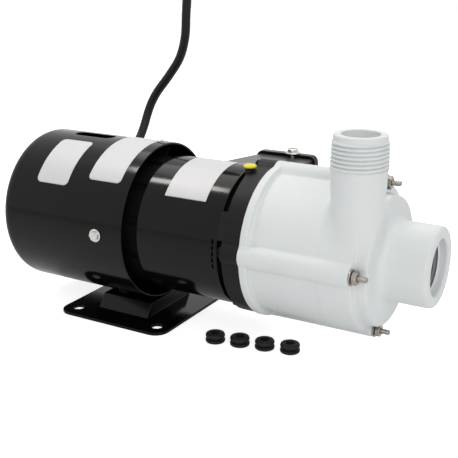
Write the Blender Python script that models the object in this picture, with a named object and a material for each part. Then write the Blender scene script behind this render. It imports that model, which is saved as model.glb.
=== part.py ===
"""Magnetic drive pump: a fan-cooled motor that turns a sealed plastic pump head through magnets.

The shaft lies along X, the inlet looks toward +X and the outlet stands up toward +Z.
The underside of the base plate is z = 0 and its middle is the origin. All sizes are metres.
"""
import math

import bmesh
import bpy
from mathutils import Matrix, Vector

for old in list(bpy.data.objects):
    bpy.data.objects.remove(old)

# Space kept between two pieces that touch, and between two that run past each other.
FIT = 0.0003
RUNNING_GAP = 0.0012

# Base plate, pressed from sheet.
BASE_LENGTH = 0.0855
BASE_WIDTH = 0.090
BASE_SHEET = 0.002
BASE_CORNER = 0.0095
BASE_HOLE = 0.0078
BASE_HOLE_EDGE_X = 0.010
BASE_HOLE_EDGE_Y = 0.011
PEDESTAL_HEIGHT = 0.011
PEDESTAL_LENGTH = 0.040
PEDESTAL_FOOT = 0.056
PEDESTAL_TOP = 0.042

# Motor. The shroud stands clear of the shell all round, and the fan clears the shroud.
SHELL_RADIUS = 0.0449
SHELL_WALL = 0.0015
SHELL_LENGTH = 0.059
SHELL_SETBACK = 0.0059
SHAFT_DIAMETER = 0.010
SHROUD_CLEARANCE = 0.0078
SHROUD_LENGTH = 0.1008
SHROUD_WALL = 0.0012
SHROUD_CORNER = 0.007
SHROUD_FRONT = 0.0201
SLOT_LENGTH = 0.032
SLOT_WIDTH = 0.010
CORE_SETBACK = 0.027
CORE_OVERHANG = 0.018
CORE_THICKNESS = 0.0215
CORE_NOTCHES = 12
ROTOR_GAP = 0.0006
WINDING_LENGTH = 0.016
WINDING_SLOT = 0.0029
WINDING_COVER = 0.0076
FAN_ROOM = 0.0628
BELL_WALL = 0.004
BEARING_OUTER = 0.013
BEARING_WIDTH = 0.008
FAN_CLEARANCE = 0.0067
FAN_DEPTH = 0.018
FAN_BLADES = 9

# Adapter between the motor and the pump head.
ADAPTER_SETBACK = 0.0005
ADAPTER_RING = 0.0112
ADAPTER_GAP = 0.0048
TAB_ANGLE = 67.0
TAB_SPREAD = 22.0

# Casing bolts. They stand a little outside the middle of their bosses.
BOLT_OFFSET = 0.0027
BOLT_TURN = -3.0
BOLT_RADIUS = 0.00165
NUT_FLATS = 0.0072
NUT_HEIGHT = 0.0030
WASHER_RADIUS = 0.0047
WASHER_HEIGHT = 0.0008
BOLT_TAIL = 0.0056

# Pump head. Its flange is wider than the shell, and the body, nose and bosses step in from it.
FLANGE_STEP = 0.0031
FLANGE_THICKNESS = 0.0050
FLANGE_RIM = 0.0036
BODY_LENGTH = 0.0697
BOSS_RADIUS = 0.0072
BOSS_DEPTH = 0.0013
NOSE_STEP = 0.0062
NOSE_GROWTH = 0.0050
NOSE_LENGTH = 0.0080
INLET_RADIUS = 0.0243
INLET_BORE = 0.0151
INLET_LEAD = 0.0169
INLET_LEAD_DEPTH = 0.0046
INLET_LENGTH = 0.0286
INLET_THREAD = 0.019
THROAT_RADIUS = 0.0125
OUTLET_INSET = 0.0174
OUTLET_SETBACK = 0.0130
OUTLET_TOP = 0.0788
OUTLET_THREAD = 0.0202
THREAD_RADIUS = 0.0163
TUBE_RADIUS = 0.0156
TUBE_ROOT_RADIUS = 0.0129
OUTLET_BORE = 0.0105

# Magnetic coupling and impeller.
BODY_WALL = 0.0047
CUP_FLANGE = 0.0030
CUP_LEDGE = 0.0147
CUP_WALL = 0.002
IMPELLER_ROOM = 0.0305
SPINDLE_RADIUS = 0.004
MAGNET_SETBACK = 0.0115
DRIVEN_THICKNESS = 0.0073
IMPELLER_CLEARANCE = 0.0042
VANE_HEIGHT = 0.0105
VANES = 6
SEAL_RADIUS = 0.00105

# Wiring box on the far side of the motor.
BOX_OVERLAP = 0.0205
BOX_LENGTH = 0.0389
BOX_FLARE = 0.0135
BOX_SETBACK = 0.0033
BOX_DROP = 0.036
BOX_REACH = 0.0071
BOX_WALL = 0.0015
LID_RIM = 0.0040
LID_MARGIN = 0.0024

# Oil port and its cap.
OIL_ANGLE = 14.0
OIL_CAP_RADIUS = 0.0041
OIL_PORT_DROP = 0.0005

# Mains lead.
LEAD_RADIUS = 0.0033
RELIEF_ANGLE = -62.0
RELIEF_SETBACK = 0.0302
RELIEF_LENGTH = 0.020

# Mounting grommets, standing loose in front of the pump.
GROMMET_RADIUS = 0.0063
GROMMET_HEIGHT = 0.0060
GROMMET_BORE = 0.0030
GROMMET_FIRST = (0.0757, -0.0310)
GROMMET_LAST = (0.1237, -0.0211)

# Radii that follow from the shell's: the shroud, the fan, the stator, and the whole pump head.
SHROUD_RADIUS = SHELL_RADIUS + SHROUD_CLEARANCE
SHAFT_HEIGHT = PEDESTAL_HEIGHT + FIT + SHROUD_RADIUS
CORE_RADIUS = SHELL_RADIUS - SHELL_WALL - FIT
CORE_BORE = CORE_RADIUS - CORE_THICKNESS
FAN_RADIUS = SHROUD_RADIUS - FAN_CLEARANCE
FLANGE_RADIUS = SHELL_RADIUS + FLANGE_STEP
ADAPTER_RADIUS = FLANGE_RADIUS - ADAPTER_SETBACK
BODY_RADIUS = FLANGE_RADIUS - FLANGE_RIM
BOSS_CIRCLE = BODY_RADIUS - BOSS_DEPTH
BOLT_CIRCLE = BOSS_CIRCLE + BOLT_OFFSET
NOSE_RADIUS = BODY_RADIUS - NOSE_STEP
OUTLET_ACROSS = -(BODY_RADIUS - OUTLET_INSET)
CUP_RADIUS = BODY_RADIUS - BODY_WALL
CUP_BORE = CUP_RADIUS - CUP_LEDGE
IMPELLER_RADIUS = NOSE_RADIUS - IMPELLER_CLEARANCE

# Places along the shaft that several pieces share.
SHROUD_REAR = SHROUD_FRONT - SHROUD_LENGTH
SHELL_REAR = SHROUD_FRONT + SHELL_SETBACK
SHELL_FRONT = SHELL_REAR + SHELL_LENGTH
CORE_REAR = SHELL_REAR - CORE_OVERHANG
CORE_FRONT = SHELL_FRONT - CORE_SETBACK
BELL_LENGTH = SHROUD_LENGTH - FAN_ROOM
BELL_FRONT = CORE_REAR - FIT
BELL_REAR = BELL_FRONT - BELL_LENGTH
RING_REAR = SHELL_FRONT + ADAPTER_GAP
RING_FRONT = RING_REAR + ADAPTER_RING
CASING_REAR = RING_FRONT + FIT
BODY_FRONT = CASING_REAR + BODY_LENGTH
NOSE_FRONT = BODY_FRONT + NOSE_LENGTH
INLET_FRONT = NOSE_FRONT + INLET_LENGTH
FLANGE_FRONT = CASING_REAR + FLANGE_THICKNESS
OUTLET_X = NOSE_FRONT - OUTLET_SETBACK
CUP_DEPTH = BODY_LENGTH - IMPELLER_ROOM
MAGNET_LENGTH = CUP_DEPTH - MAGNET_SETBACK
CUP_BOTTOM = CASING_REAR + CUP_DEPTH
SHAFT_AXIS = Vector((0.0, 0.0, SHAFT_HEIGHT))
SHAFT_RADIUS = SHAFT_DIAMETER / 2
BOX_REAR = SHELL_FRONT - BOX_OVERLAP
BOX_TOP = SHELL_RADIUS - BOX_SETBACK
BOX_OUT = SHELL_RADIUS + BOX_REACH
OIL_PORT_TOP = ADAPTER_RADIUS - OIL_PORT_DROP
RELIEF_X = SHROUD_REAR + RELIEF_SETBACK

MATERIALS = {
    "black_gloss_enamel": ((0.012, 0.012, 0.013, 1.0), 0.0, 0.18),
    "dark_cast_paint": ((0.030, 0.030, 0.032, 1.0), 0.0, 0.42),
    "white_polypropylene": ((0.78, 0.81, 0.82, 1.0), 0.0, 0.38),
    "stainless_steel": ((0.55, 0.54, 0.52, 1.0), 1.0, 0.28),
    "laminated_steel": ((0.18, 0.18, 0.19, 1.0), 1.0, 0.45),
    "copper_winding": ((0.55, 0.24, 0.10, 1.0), 1.0, 0.35),
    "cast_aluminium": ((0.42, 0.43, 0.44, 1.0), 1.0, 0.50),
    "black_rubber": ((0.015, 0.015, 0.015, 1.0), 0.0, 0.65),
    "yellow_plastic": ((0.85, 0.78, 0.06, 1.0), 0.0, 0.35),
    "ferrite": ((0.05, 0.05, 0.055, 1.0), 0.0, 0.50),
    "ceramic": ((0.80, 0.78, 0.72, 1.0), 0.0, 0.25),
    "carbon_graphite": ((0.045, 0.045, 0.048, 1.0), 0.0, 0.40),
    "grey_nylon": ((0.30, 0.30, 0.31, 1.0), 0.0, 0.45),
}


def material(name):
    """The named finish, made once."""
    found = bpy.data.materials.get(name)
    if found:
        return found
    colour, metallic, roughness = MATERIALS[name]
    made = bpy.data.materials.new(name)
    made.use_nodes = True
    shader = made.node_tree.nodes["Principled BSDF"]
    shader.inputs["Base Color"].default_value = colour
    shader.inputs["Metallic"].default_value = metallic
    shader.inputs["Roughness"].default_value = roughness
    made.diffuse_color = colour
    return made


def add(name, work, finish):
    """An object made from a bmesh, with outward faces and smooth round sides."""
    bmesh.ops.remove_doubles(work, verts=work.verts, dist=1e-6)
    bmesh.ops.recalc_face_normals(work, faces=work.faces)
    mesh = bpy.data.meshes.new(name)
    work.to_mesh(mesh)
    work.free()
    made = bpy.data.objects.new(name, mesh)
    bpy.context.collection.objects.link(made)
    mesh.materials.append(material(finish))
    soften(made)
    return made


def soften(piece):
    """Shades the round sides smooth and keeps real edges sharp."""
    piece.data.polygons.foreach_set("use_smooth", [True] * len(piece.data.polygons))
    piece.data.set_sharp_from_angle(angle=math.radians(32))


def combine(target, tool, how):
    """Joins a tool to a solid, cuts it away or keeps what both share, and removes the tool."""
    tool.hide_render = True
    tool.display_type = "WIRE"
    step = target.modifiers.new(how.lower(), "BOOLEAN")
    step.operation = how
    step.solver = "EXACT"
    step.object = tool
    bpy.context.view_layer.update()
    shape = bpy.data.meshes.new_from_object(target.evaluated_get(bpy.context.evaluated_depsgraph_get()))
    target.modifiers.remove(step)
    spare = target.data
    target.data = shape
    bpy.data.meshes.remove(spare)
    work = bmesh.new()
    work.from_mesh(shape)
    bmesh.ops.dissolve_limit(work, angle_limit=math.radians(0.05), verts=work.verts, edges=work.edges)
    work.to_mesh(shape)
    work.free()
    bpy.data.objects.remove(tool)
    finish = target.data.materials[0]
    target.data.materials.clear()
    target.data.materials.append(finish)
    soften(target)
    return target


def cut(target, tool):
    """Takes the tool out of the target."""
    return combine(target, tool, "DIFFERENCE")


def join(target, tool):
    """Fuses the tool with the target."""
    return combine(target, tool, "UNION")


def frame_along(direction, start):
    """A matrix whose local Z runs along a direction from a start point."""
    turn = Vector((0, 0, 1)).rotation_difference(Vector(direction).normalized())
    return Matrix.Translation(Vector(start)) @ turn.to_matrix().to_4x4()


def facets(radius):
    """How many sides a round shape gets: more on a large one, always a multiple of four."""
    return 4 * max(2, round(38 * math.sqrt(radius)))


def turned(name, outline, finish, start=SHAFT_AXIS, direction=(1, 0, 0)):
    """A body of revolution: outline points are (distance along the axis, radius)."""
    sides = facets(max(radius for along, radius in outline))
    work = bmesh.new()
    rings = []
    for along, radius in outline:
        if radius < 1e-7:
            rings.append([work.verts.new((0, 0, along))])
        else:
            rings.append([work.verts.new((radius * math.cos(2 * math.pi * k / sides),
                                          radius * math.sin(2 * math.pi * k / sides), along))
                          for k in range(sides)])
    closed = outline[0][1] > 1e-7
    pairs = list(zip(rings, rings[1:]))
    if closed:
        pairs.append((rings[-1], rings[0]))
    for first, second in pairs:
        for k in range(sides):
            after = (k + 1) % sides
            corners = [first[k % len(first)], first[after % len(first)],
                       second[after % len(second)], second[k % len(second)]]
            face = list(dict.fromkeys(corners))
            if len(face) > 2:
                work.faces.new(face)
    bmesh.ops.transform(work, matrix=frame_along(direction, start), verts=work.verts)
    return add(name, work, finish)


def rod(name, radius, begin, end, finish, start=SHAFT_AXIS, direction=(1, 0, 0)):
    """A plain round bar between two distances along an axis."""
    outline = [(begin, 0), (begin, radius), (end, radius), (end, 0)]
    return turned(name, outline, finish, start, direction)


def tube(name, inner, outer, begin, end, finish, start=SHAFT_AXIS, direction=(1, 0, 0)):
    """A plain ring between two distances along an axis."""
    outline = [(begin, inner), (begin, outer), (end, outer), (end, inner)]
    return turned(name, outline, finish, start, direction)


def prism(name, points, begin, end, finish, matrix=None):
    """A flat outline in local XY, extruded along local Z, then placed by a matrix."""
    work = bmesh.new()
    low = [work.verts.new((x, y, begin)) for x, y in points]
    high = [work.verts.new((x, y, end)) for x, y in points]
    work.faces.new(list(reversed(low)))
    work.faces.new(high)
    for k in range(len(points)):
        after = (k + 1) % len(points)
        work.faces.new((low[k], low[after], high[after], high[k]))
    if matrix:
        bmesh.ops.transform(work, matrix=matrix, verts=work.verts)
    return add(name, work, finish)


def block(name, low, high, finish):
    """A box between two corners."""
    points = [(low[0], low[1]), (high[0], low[1]), (high[0], high[1]), (low[0], high[1])]
    return prism(name, points, low[2], high[2], finish)


def rounded(length, width, corner, steps=5):
    """The outline of a rectangle with round corners, centred on its own middle."""
    points = []
    for k, (sx, sy) in enumerate(((1, 1), (-1, 1), (-1, -1), (1, -1))):
        middle = (sx * (length / 2 - corner), sy * (width / 2 - corner))
        for step in range(steps + 1):
            angle = math.pi / 2 * (k + step / steps)
            points.append((middle[0] + corner * math.cos(angle), middle[1] + corner * math.sin(angle)))
    return points


def hexagon(flats):
    """A hexagon outline by its width across flats."""
    reach = flats / math.sqrt(3)
    return [(reach * math.cos(math.pi / 3 * k), reach * math.sin(math.pi / 3 * k)) for k in range(6)]


def around(radius, degrees, x=0.0):
    """A point at a radius from the shaft, with the angle taken from straight up toward -Y."""
    angle = math.radians(degrees)
    return Vector((x, -radius * math.sin(angle), SHAFT_HEIGHT + radius * math.cos(angle)))


def outward(degrees):
    """The direction away from the shaft at an angle."""
    angle = math.radians(degrees)
    return Vector((0, -math.sin(angle), math.cos(angle)))


def sector(name, inner, outer, middle, spread, begin, end, finish, steps=6):
    """A piece of a ring round the shaft, by its middle angle and its spread in degrees."""
    angles = [math.radians(middle - spread / 2 + spread * k / steps) for k in range(steps + 1)]
    edge = [(-outer * math.sin(a), outer * math.cos(a)) for a in angles]
    edge += [(-inner * math.sin(a), inner * math.cos(a)) for a in reversed(angles)]
    place = Matrix(((0, 0, 1, 0), (1, 0, 0, 0), (0, 1, 0, SHAFT_HEIGHT), (0, 0, 0, 1)))
    return prism(name, edge, begin, end, finish, place)


def pivot(piece, point):
    """Puts a moving piece's origin on its joint axis without moving its surface."""
    piece.data.transform(Matrix.Translation(-Vector(point)))
    piece.location = point
    return piece


BOLT_ANGLES = [BOLT_TURN + 90 * k for k in range(4)]

# Base plate: a flat sheet with round corners and a hollow pedestal welded on it under the motor.
base = prism("base_plate", rounded(BASE_LENGTH, BASE_WIDTH, BASE_CORNER), 0, BASE_SHEET,
             "black_gloss_enamel")


def frustum(name, length, foot, top, low, high):
    """A pedestal with upright ends and sloping long sides."""
    side = [(-foot / 2, low), (foot / 2, low), (top / 2, high), (-top / 2, high)]
    place = Matrix(((0, 0, 1, 0), (1, 0, 0, 0), (0, 1, 0, 0), (0, 0, 0, 1)))
    return prism(name, side, -length / 2, length / 2, "black_gloss_enamel", place)


join(base, frustum("pedestal", PEDESTAL_LENGTH, PEDESTAL_FOOT, PEDESTAL_TOP, BASE_SHEET / 2,
                   PEDESTAL_HEIGHT))
for sx in (-1, 1):
    for sy in (-1, 1):
        middle = (sx * (BASE_LENGTH / 2 - BASE_HOLE_EDGE_X), sy * (BASE_WIDTH / 2 - BASE_HOLE_EDGE_Y), 0)
        cut(base, rod("hole", BASE_HOLE / 2, -BASE_SHEET, 2 * BASE_SHEET, "black_gloss_enamel", middle,
                      (0, 0, 1)))

# Foot screws hold the rear bell's two feet to the pedestal, driven through holes in the sheet.
FOOT_X = SHROUD_FRONT - 0.0281
FOOT_Y = 0.012
FOOT_RADIUS = 0.005
FOOT_SCREW = 0.0020
SCREW_HEAD = 0.0038
SCREW_HEAD_HEIGHT = 0.0022
SCREW_SEAT = PEDESTAL_HEIGHT - BASE_SHEET - FIT
FOOT_TOP = PEDESTAL_HEIGHT + FIT
FEET = [(FOOT_X, -FOOT_Y, 0), (FOOT_X, FOOT_Y, 0)]
hollow = frustum("hollow", PEDESTAL_LENGTH - 2 * BASE_SHEET, PEDESTAL_FOOT - 3 * BASE_SHEET,
                 PEDESTAL_TOP - 2 * BASE_SHEET, BASE_SHEET, PEDESTAL_HEIGHT - BASE_SHEET)
for place in FEET:
    join(hollow, rod("way", SCREW_HEAD + 3 * FIT, -BASE_SHEET, 2 * BASE_SHEET, "stainless_steel", place,
                     (0, 0, 1)))
    join(hollow, rod("hole", FOOT_SCREW + FIT, BASE_SHEET, 2 * PEDESTAL_HEIGHT, "stainless_steel", place,
                     (0, 0, 1)))
cut(base, hollow)
for number, place in enumerate(FEET, 1):
    turned(f"foot_screw_{number}",
           [(SCREW_SEAT - SCREW_HEAD_HEIGHT, 0), (SCREW_SEAT - SCREW_HEAD_HEIGHT, SCREW_HEAD * 0.8),
            (SCREW_SEAT - SCREW_HEAD_HEIGHT * 0.5, SCREW_HEAD), (SCREW_SEAT, SCREW_HEAD),
            (SCREW_SEAT, FOOT_SCREW),
            (FOOT_TOP + 0.0085, FOOT_SCREW), (FOOT_TOP + 0.0085, 0)], "stainless_steel", place, (0, 0, 1))

# Rear bell: it carries the rear bearing, the shroud's three lugs and the two feet.
BELL_RADIUS = CORE_RADIUS - 0.0011
bell = turned("rear_end_bell", [
    (BELL_REAR - 0.002, BEARING_OUTER + FIT), (BELL_REAR - 0.002, BEARING_OUTER + 0.004),
    (BELL_REAR, BEARING_OUTER + 0.005), (BELL_REAR, BELL_RADIUS - 0.003), (BELL_REAR + 0.003, BELL_RADIUS),
    (BELL_FRONT, BELL_RADIUS), (BELL_FRONT, BELL_RADIUS - BELL_WALL),
    (BELL_REAR + BELL_WALL, BELL_RADIUS - BELL_WALL),
    (BELL_REAR + BELL_WALL, BEARING_OUTER + 0.004), (BELL_REAR + 0.010, BEARING_OUTER + 0.003),
    (BELL_REAR + 0.010, BEARING_OUTER + FIT)], "cast_aluminium")
LUG_RADIUS = 0.005
LUG_TOP = math.sqrt((SHROUD_RADIUS - SHROUD_WALL - 1.5 * FIT) ** 2 - LUG_RADIUS ** 2)
LUG_X = SHROUD_FRONT - 0.0201
SHROUD_SCREW = 0.0016
SHROUD_SCREW_HEAD = 0.0043
LUG_ANGLES = [89.0 + 120 * k for k in range(3)]
for angle in LUG_ANGLES:
    join(bell, rod("lug", LUG_RADIUS, BELL_RADIUS - BELL_WALL / 2, LUG_TOP, "cast_aluminium",
                   (LUG_X, 0, SHAFT_HEIGHT), outward(angle)))
foot_root = SHAFT_HEIGHT - math.sqrt((BELL_RADIUS - BELL_WALL) ** 2 - (FOOT_Y - FOOT_RADIUS) ** 2) - FIT
for place in FEET:
    join(bell, rod("foot", FOOT_RADIUS, FOOT_TOP, foot_root, "cast_aluminium", place, (0, 0, 1)))
for angle in LUG_ANGLES:
    cut(bell, rod("bore", SHROUD_SCREW + FIT, BELL_RADIUS - BELL_WALL * 2, LUG_TOP + 0.001,
                  "cast_aluminium",
                  (LUG_X, 0, SHAFT_HEIGHT), outward(angle)))
for place in FEET:
    cut(bell, rod("bore", FOOT_SCREW + FIT, 0, FOOT_TOP + 0.010, "cast_aluminium", place, (0, 0, 1)))

# Fan shroud: a spun can with a rounded rear edge, intake slots in its rear face and a slot on top.
RELIEF_BORE = LEAD_RADIUS + 0.0022
shroud = turned("fan_shroud", [
    (SHROUD_REAR, 0), (SHROUD_REAR, SHROUD_RADIUS - SHROUD_CORNER),
    (SHROUD_REAR + SHROUD_CORNER * 0.134, SHROUD_RADIUS - SHROUD_CORNER * 0.5),
    (SHROUD_REAR + SHROUD_CORNER * 0.5, SHROUD_RADIUS - SHROUD_CORNER * 0.134),
    (SHROUD_REAR + SHROUD_CORNER, SHROUD_RADIUS), (SHROUD_FRONT, SHROUD_RADIUS),
    (SHROUD_FRONT, SHROUD_RADIUS - SHROUD_WALL), (SHROUD_REAR + SHROUD_CORNER, SHROUD_RADIUS - SHROUD_WALL),
    (SHROUD_REAR + SHROUD_CORNER * 0.5 + SHROUD_WALL * 0.5,
     SHROUD_RADIUS - SHROUD_CORNER * 0.134 - SHROUD_WALL * 0.8),
    (SHROUD_REAR + SHROUD_WALL, SHROUD_RADIUS - SHROUD_CORNER), (SHROUD_REAR + SHROUD_WALL, 0)],
    "black_gloss_enamel")
INTAKE_SLOTS = 8
INTAKE_WIDTH = 0.006
INTAKE_INNER = 0.016
INTAKE_OUTER = SHROUD_RADIUS - 0.0147
for k in range(INTAKE_SLOTS):
    length = INTAKE_OUTER - INTAKE_INNER
    angle = 2 * math.pi * (k + 0.5) / INTAKE_SLOTS
    place = (Matrix.Translation((SHROUD_REAR, 0, SHAFT_HEIGHT)) @ Matrix.Rotation(angle, 4, "X")
             @ Matrix.Translation((0, (INTAKE_INNER + INTAKE_OUTER) / 2, 0))
             @ Matrix(((0, 0, 1, 0), (1, 0, 0, 0), (0, 1, 0, 0), (0, 0, 0, 1))))
    cut(shroud, prism("intake", rounded(length, INTAKE_WIDTH, INTAKE_WIDTH * 0.49, 2), -0.002, 0.004,
                      "black_rubber", place))
SLOT_MIDDLE = SHROUD_FRONT - 0.0581
place = Matrix.Translation((SLOT_MIDDLE, 0, SHAFT_HEIGHT + SHROUD_RADIUS))
cut(shroud, prism("slot", rounded(SLOT_LENGTH, SLOT_WIDTH, SLOT_WIDTH * 0.49, 3), -0.005, 0.003,
                  "black_rubber", place))
for number, angle in enumerate(LUG_ANGLES, 1):
    cut(shroud, rod("hole", SHROUD_SCREW + FIT, LUG_TOP, SHROUD_RADIUS + 0.001, "stainless_steel",
                    (LUG_X, 0, SHAFT_HEIGHT), outward(angle)))
    top = SHROUD_RADIUS + FIT
    turned(f"shroud_screw_{number}",
           [(BELL_RADIUS - 0.001, 0), (BELL_RADIUS - 0.001, SHROUD_SCREW), (top, SHROUD_SCREW),
            (top, SHROUD_SCREW_HEAD),
            (top + 0.0009, SHROUD_SCREW_HEAD), (top + 0.0019, SHROUD_SCREW_HEAD * 0.7), (top + 0.0023, 0)],
           "stainless_steel", (LUG_X, 0, SHAFT_HEIGHT), outward(angle))
for place in FEET:
    cut(shroud, rod("hole", FOOT_RADIUS + FIT, 0, foot_root, "black_rubber", place, (0, 0, 1)))
cut(shroud, rod("hole", RELIEF_BORE + FIT, SHROUD_RADIUS - 0.006, SHROUD_RADIUS + 0.004, "black_rubber",
                (RELIEF_X, 0, SHAFT_HEIGHT), outward(RELIEF_ANGLE)))

# Motor shell: a plain drawn tube between the stator and the adapter.
shell = tube("motor_shell", SHELL_RADIUS - SHELL_WALL, SHELL_RADIUS, SHELL_REAR, SHELL_FRONT,
             "black_gloss_enamel")

# Stator: notched laminations with a winding at each end.
core = tube("stator_core", CORE_BORE, CORE_RADIUS, CORE_REAR, CORE_FRONT, "laminated_steel")
for k in range(CORE_NOTCHES):
    spread = 90 / CORE_NOTCHES
    cut(core, sector("notch", CORE_RADIUS - 0.0015, CORE_RADIUS + 0.002, 360 / CORE_NOTCHES * (k + 0.5),
                     spread,
                     CORE_REAR - 0.001, CORE_FRONT + 0.001, "laminated_steel", 1))
WINDING_INNER = CORE_BORE + WINDING_SLOT
WINDING_OUTER = CORE_RADIUS - WINDING_COVER
WINDING_EDGE = min(0.004, (WINDING_OUTER - WINDING_INNER) / 2.2)
for name, low, high in (("winding_rear", CORE_REAR - WINDING_LENGTH, CORE_REAR - FIT),
                        ("winding_front", CORE_FRONT + FIT, CORE_FRONT + WINDING_LENGTH)):
    edge = WINDING_EDGE
    turned(name, [(low, WINDING_INNER), (low, WINDING_OUTER - edge), (low + edge, WINDING_OUTER),
                  (high - edge, WINDING_OUTER), (high, WINDING_OUTER - edge), (high, WINDING_INNER)],
                  "copper_winding")

# Rotor, shaft and bearings.
REAR_BEARING = BELL_REAR
FAN_FRONT = BELL_REAR - 0.010
CLIP_THICKNESS = 0.0015
SHAFT_REAR = FAN_FRONT - FAN_DEPTH - 2 * CLIP_THICKNESS
HUB_REAR = SHELL_FRONT + 0.0095
SHAFT_SETBACK = 0.012
SHAFT_FRONT = CUP_BOTTOM - SHAFT_SETBACK
FRONT_BEARING = SHELL_FRONT - 0.001
shaft = turned("motor_shaft", [(SHAFT_REAR, 0), (SHAFT_REAR, SHAFT_RADIUS - 0.0008),
                               (SHAFT_REAR + 0.0008, SHAFT_RADIUS),
                               (SHAFT_FRONT - 0.0008, SHAFT_RADIUS), (SHAFT_FRONT, SHAFT_RADIUS - 0.0008),
                               (SHAFT_FRONT, 0)], "stainless_steel")
pivot(shaft, (CORE_REAR, 0, SHAFT_HEIGHT))
rotor = tube("rotor_core", SHAFT_RADIUS + FIT, CORE_BORE - ROTOR_GAP, CORE_REAR, CORE_FRONT,
             "laminated_steel")
pivot(rotor, (CORE_REAR, 0, SHAFT_HEIGHT))
for name, low in (("rear_bearing", REAR_BEARING), ("front_bearing", FRONT_BEARING)):
    tube(name, SHAFT_RADIUS + FIT, BEARING_OUTER, low, low + BEARING_WIDTH, "stainless_steel")

# Cooling fan: a disc with straight radial blades on the shaft's rear end.
FAN_HUB = SHAFT_RADIUS + 0.005
FAN_DISC = 0.002
fan = turned("cooling_fan", [
    (FAN_FRONT - FAN_DEPTH, SHAFT_RADIUS + FIT), (FAN_FRONT - FAN_DEPTH, FAN_HUB),
    (FAN_FRONT - FAN_DISC, FAN_HUB),
    (FAN_FRONT - FAN_DISC, FAN_RADIUS), (FAN_FRONT, FAN_RADIUS), (FAN_FRONT, SHAFT_RADIUS + FIT)],
    "grey_nylon")
for k in range(FAN_BLADES):
    turn = Matrix.Translation(SHAFT_AXIS) @ Matrix.Rotation(2 * math.pi * k / FAN_BLADES, 4, "X")
    blade = block("blade", (FAN_FRONT - FAN_DEPTH, FAN_HUB - 0.001, -0.0008),
                  (FAN_FRONT - FAN_DISC / 2, FAN_RADIUS - 0.0005, 0.0008), "grey_nylon")
    blade.data.transform(turn)
    join(fan, blade)
pivot(fan, (FAN_FRONT, 0, SHAFT_HEIGHT))
clip = tube("fan_clip", SHAFT_RADIUS + FIT, FAN_HUB * 0.85, FAN_FRONT - FAN_DEPTH - FIT - CLIP_THICKNESS,
            FAN_FRONT - FAN_DEPTH - FIT,
            "stainless_steel")
pivot(clip, (FAN_FRONT, 0, SHAFT_HEIGHT))

# Adapter: a lobed ring with a bearing web. Four tabs reach back to the motor shell and leave
# arched gaps between them, and the oil port stands on its rear edge.
SPIGOT_LENGTH = 0.003
NECK_RADIUS = CORE_RADIUS - 0.0021
HUB_CLEAR = NECK_RADIUS - 0.011
adapter = turned("adapter_bracket", [
    (SHELL_FRONT - SPIGOT_LENGTH, CORE_RADIUS), (SHELL_FRONT, CORE_RADIUS), (SHELL_FRONT, NECK_RADIUS),
    (RING_REAR, NECK_RADIUS), (RING_REAR, ADAPTER_RADIUS),
    (RING_FRONT, ADAPTER_RADIUS), (RING_FRONT, HUB_CLEAR),
    (FRONT_BEARING + BEARING_WIDTH + 0.0015, HUB_CLEAR),
    (FRONT_BEARING + BEARING_WIDTH + 0.0015, BEARING_OUTER - 0.002),
    (FRONT_BEARING + BEARING_WIDTH + FIT, BEARING_OUTER - 0.002),
    (FRONT_BEARING + BEARING_WIDTH + FIT, BEARING_OUTER + FIT),
    (SHELL_FRONT - SPIGOT_LENGTH, BEARING_OUTER + FIT)], "dark_cast_paint")
for k in range(4):
    join(adapter, sector("tab", NECK_RADIUS - 0.001, ADAPTER_RADIUS - 0.0012, TAB_ANGLE + 90 * k,
                         TAB_SPREAD,
                         SHELL_FRONT + FIT, RING_REAR + 0.002, "dark_cast_paint"))
for angle in BOLT_ANGLES:
    join(adapter, rod("lobe", BOSS_RADIUS, RING_REAR, RING_FRONT, "dark_cast_paint",
                      around(BOSS_CIRCLE, angle)))
OIL_FOOT = Vector((SHELL_FRONT + 0.0045, -NECK_RADIUS * math.sin(math.radians(OIL_ANGLE)) - 0.002,
                   SHAFT_HEIGHT))
OIL_PORT = 0.0030
OIL_STEM = 0.0012
join(adapter, rod("port", OIL_PORT, NECK_RADIUS - 0.005, OIL_PORT_TOP, "dark_cast_paint", OIL_FOOT,
                  (0, 0, 1)))
cut(adapter, rod("bore", OIL_STEM + FIT, NECK_RADIUS - 0.004, OIL_PORT_TOP + 0.001, "dark_cast_paint",
                 OIL_FOOT,
                 (0, 0, 1)))
for angle in BOLT_ANGLES:
    cut(adapter, rod("bore", BOLT_RADIUS + FIT, RING_REAR - 0.001, RING_FRONT + 0.001, "dark_cast_paint",
                     around(BOLT_CIRCLE, angle)))

# Oil cap: a flat button with a stem that pulls straight up out of the port.
cap_seat = OIL_PORT_TOP + FIT
cap = turned("oil_cap", [
    (cap_seat - 0.0055, 0), (cap_seat - 0.0055, OIL_STEM), (cap_seat, OIL_STEM),
    (cap_seat, OIL_CAP_RADIUS * 0.66),
    (cap_seat + 0.0006, OIL_CAP_RADIUS), (cap_seat + 0.0016, OIL_CAP_RADIUS),
    (cap_seat + 0.0022, OIL_CAP_RADIUS * 0.75), (cap_seat + 0.0023, 0)],
    "yellow_plastic", OIL_FOOT, (0, 0, 1))
pivot(cap, OIL_FOOT + Vector((0, 0, cap_seat)))

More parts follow.
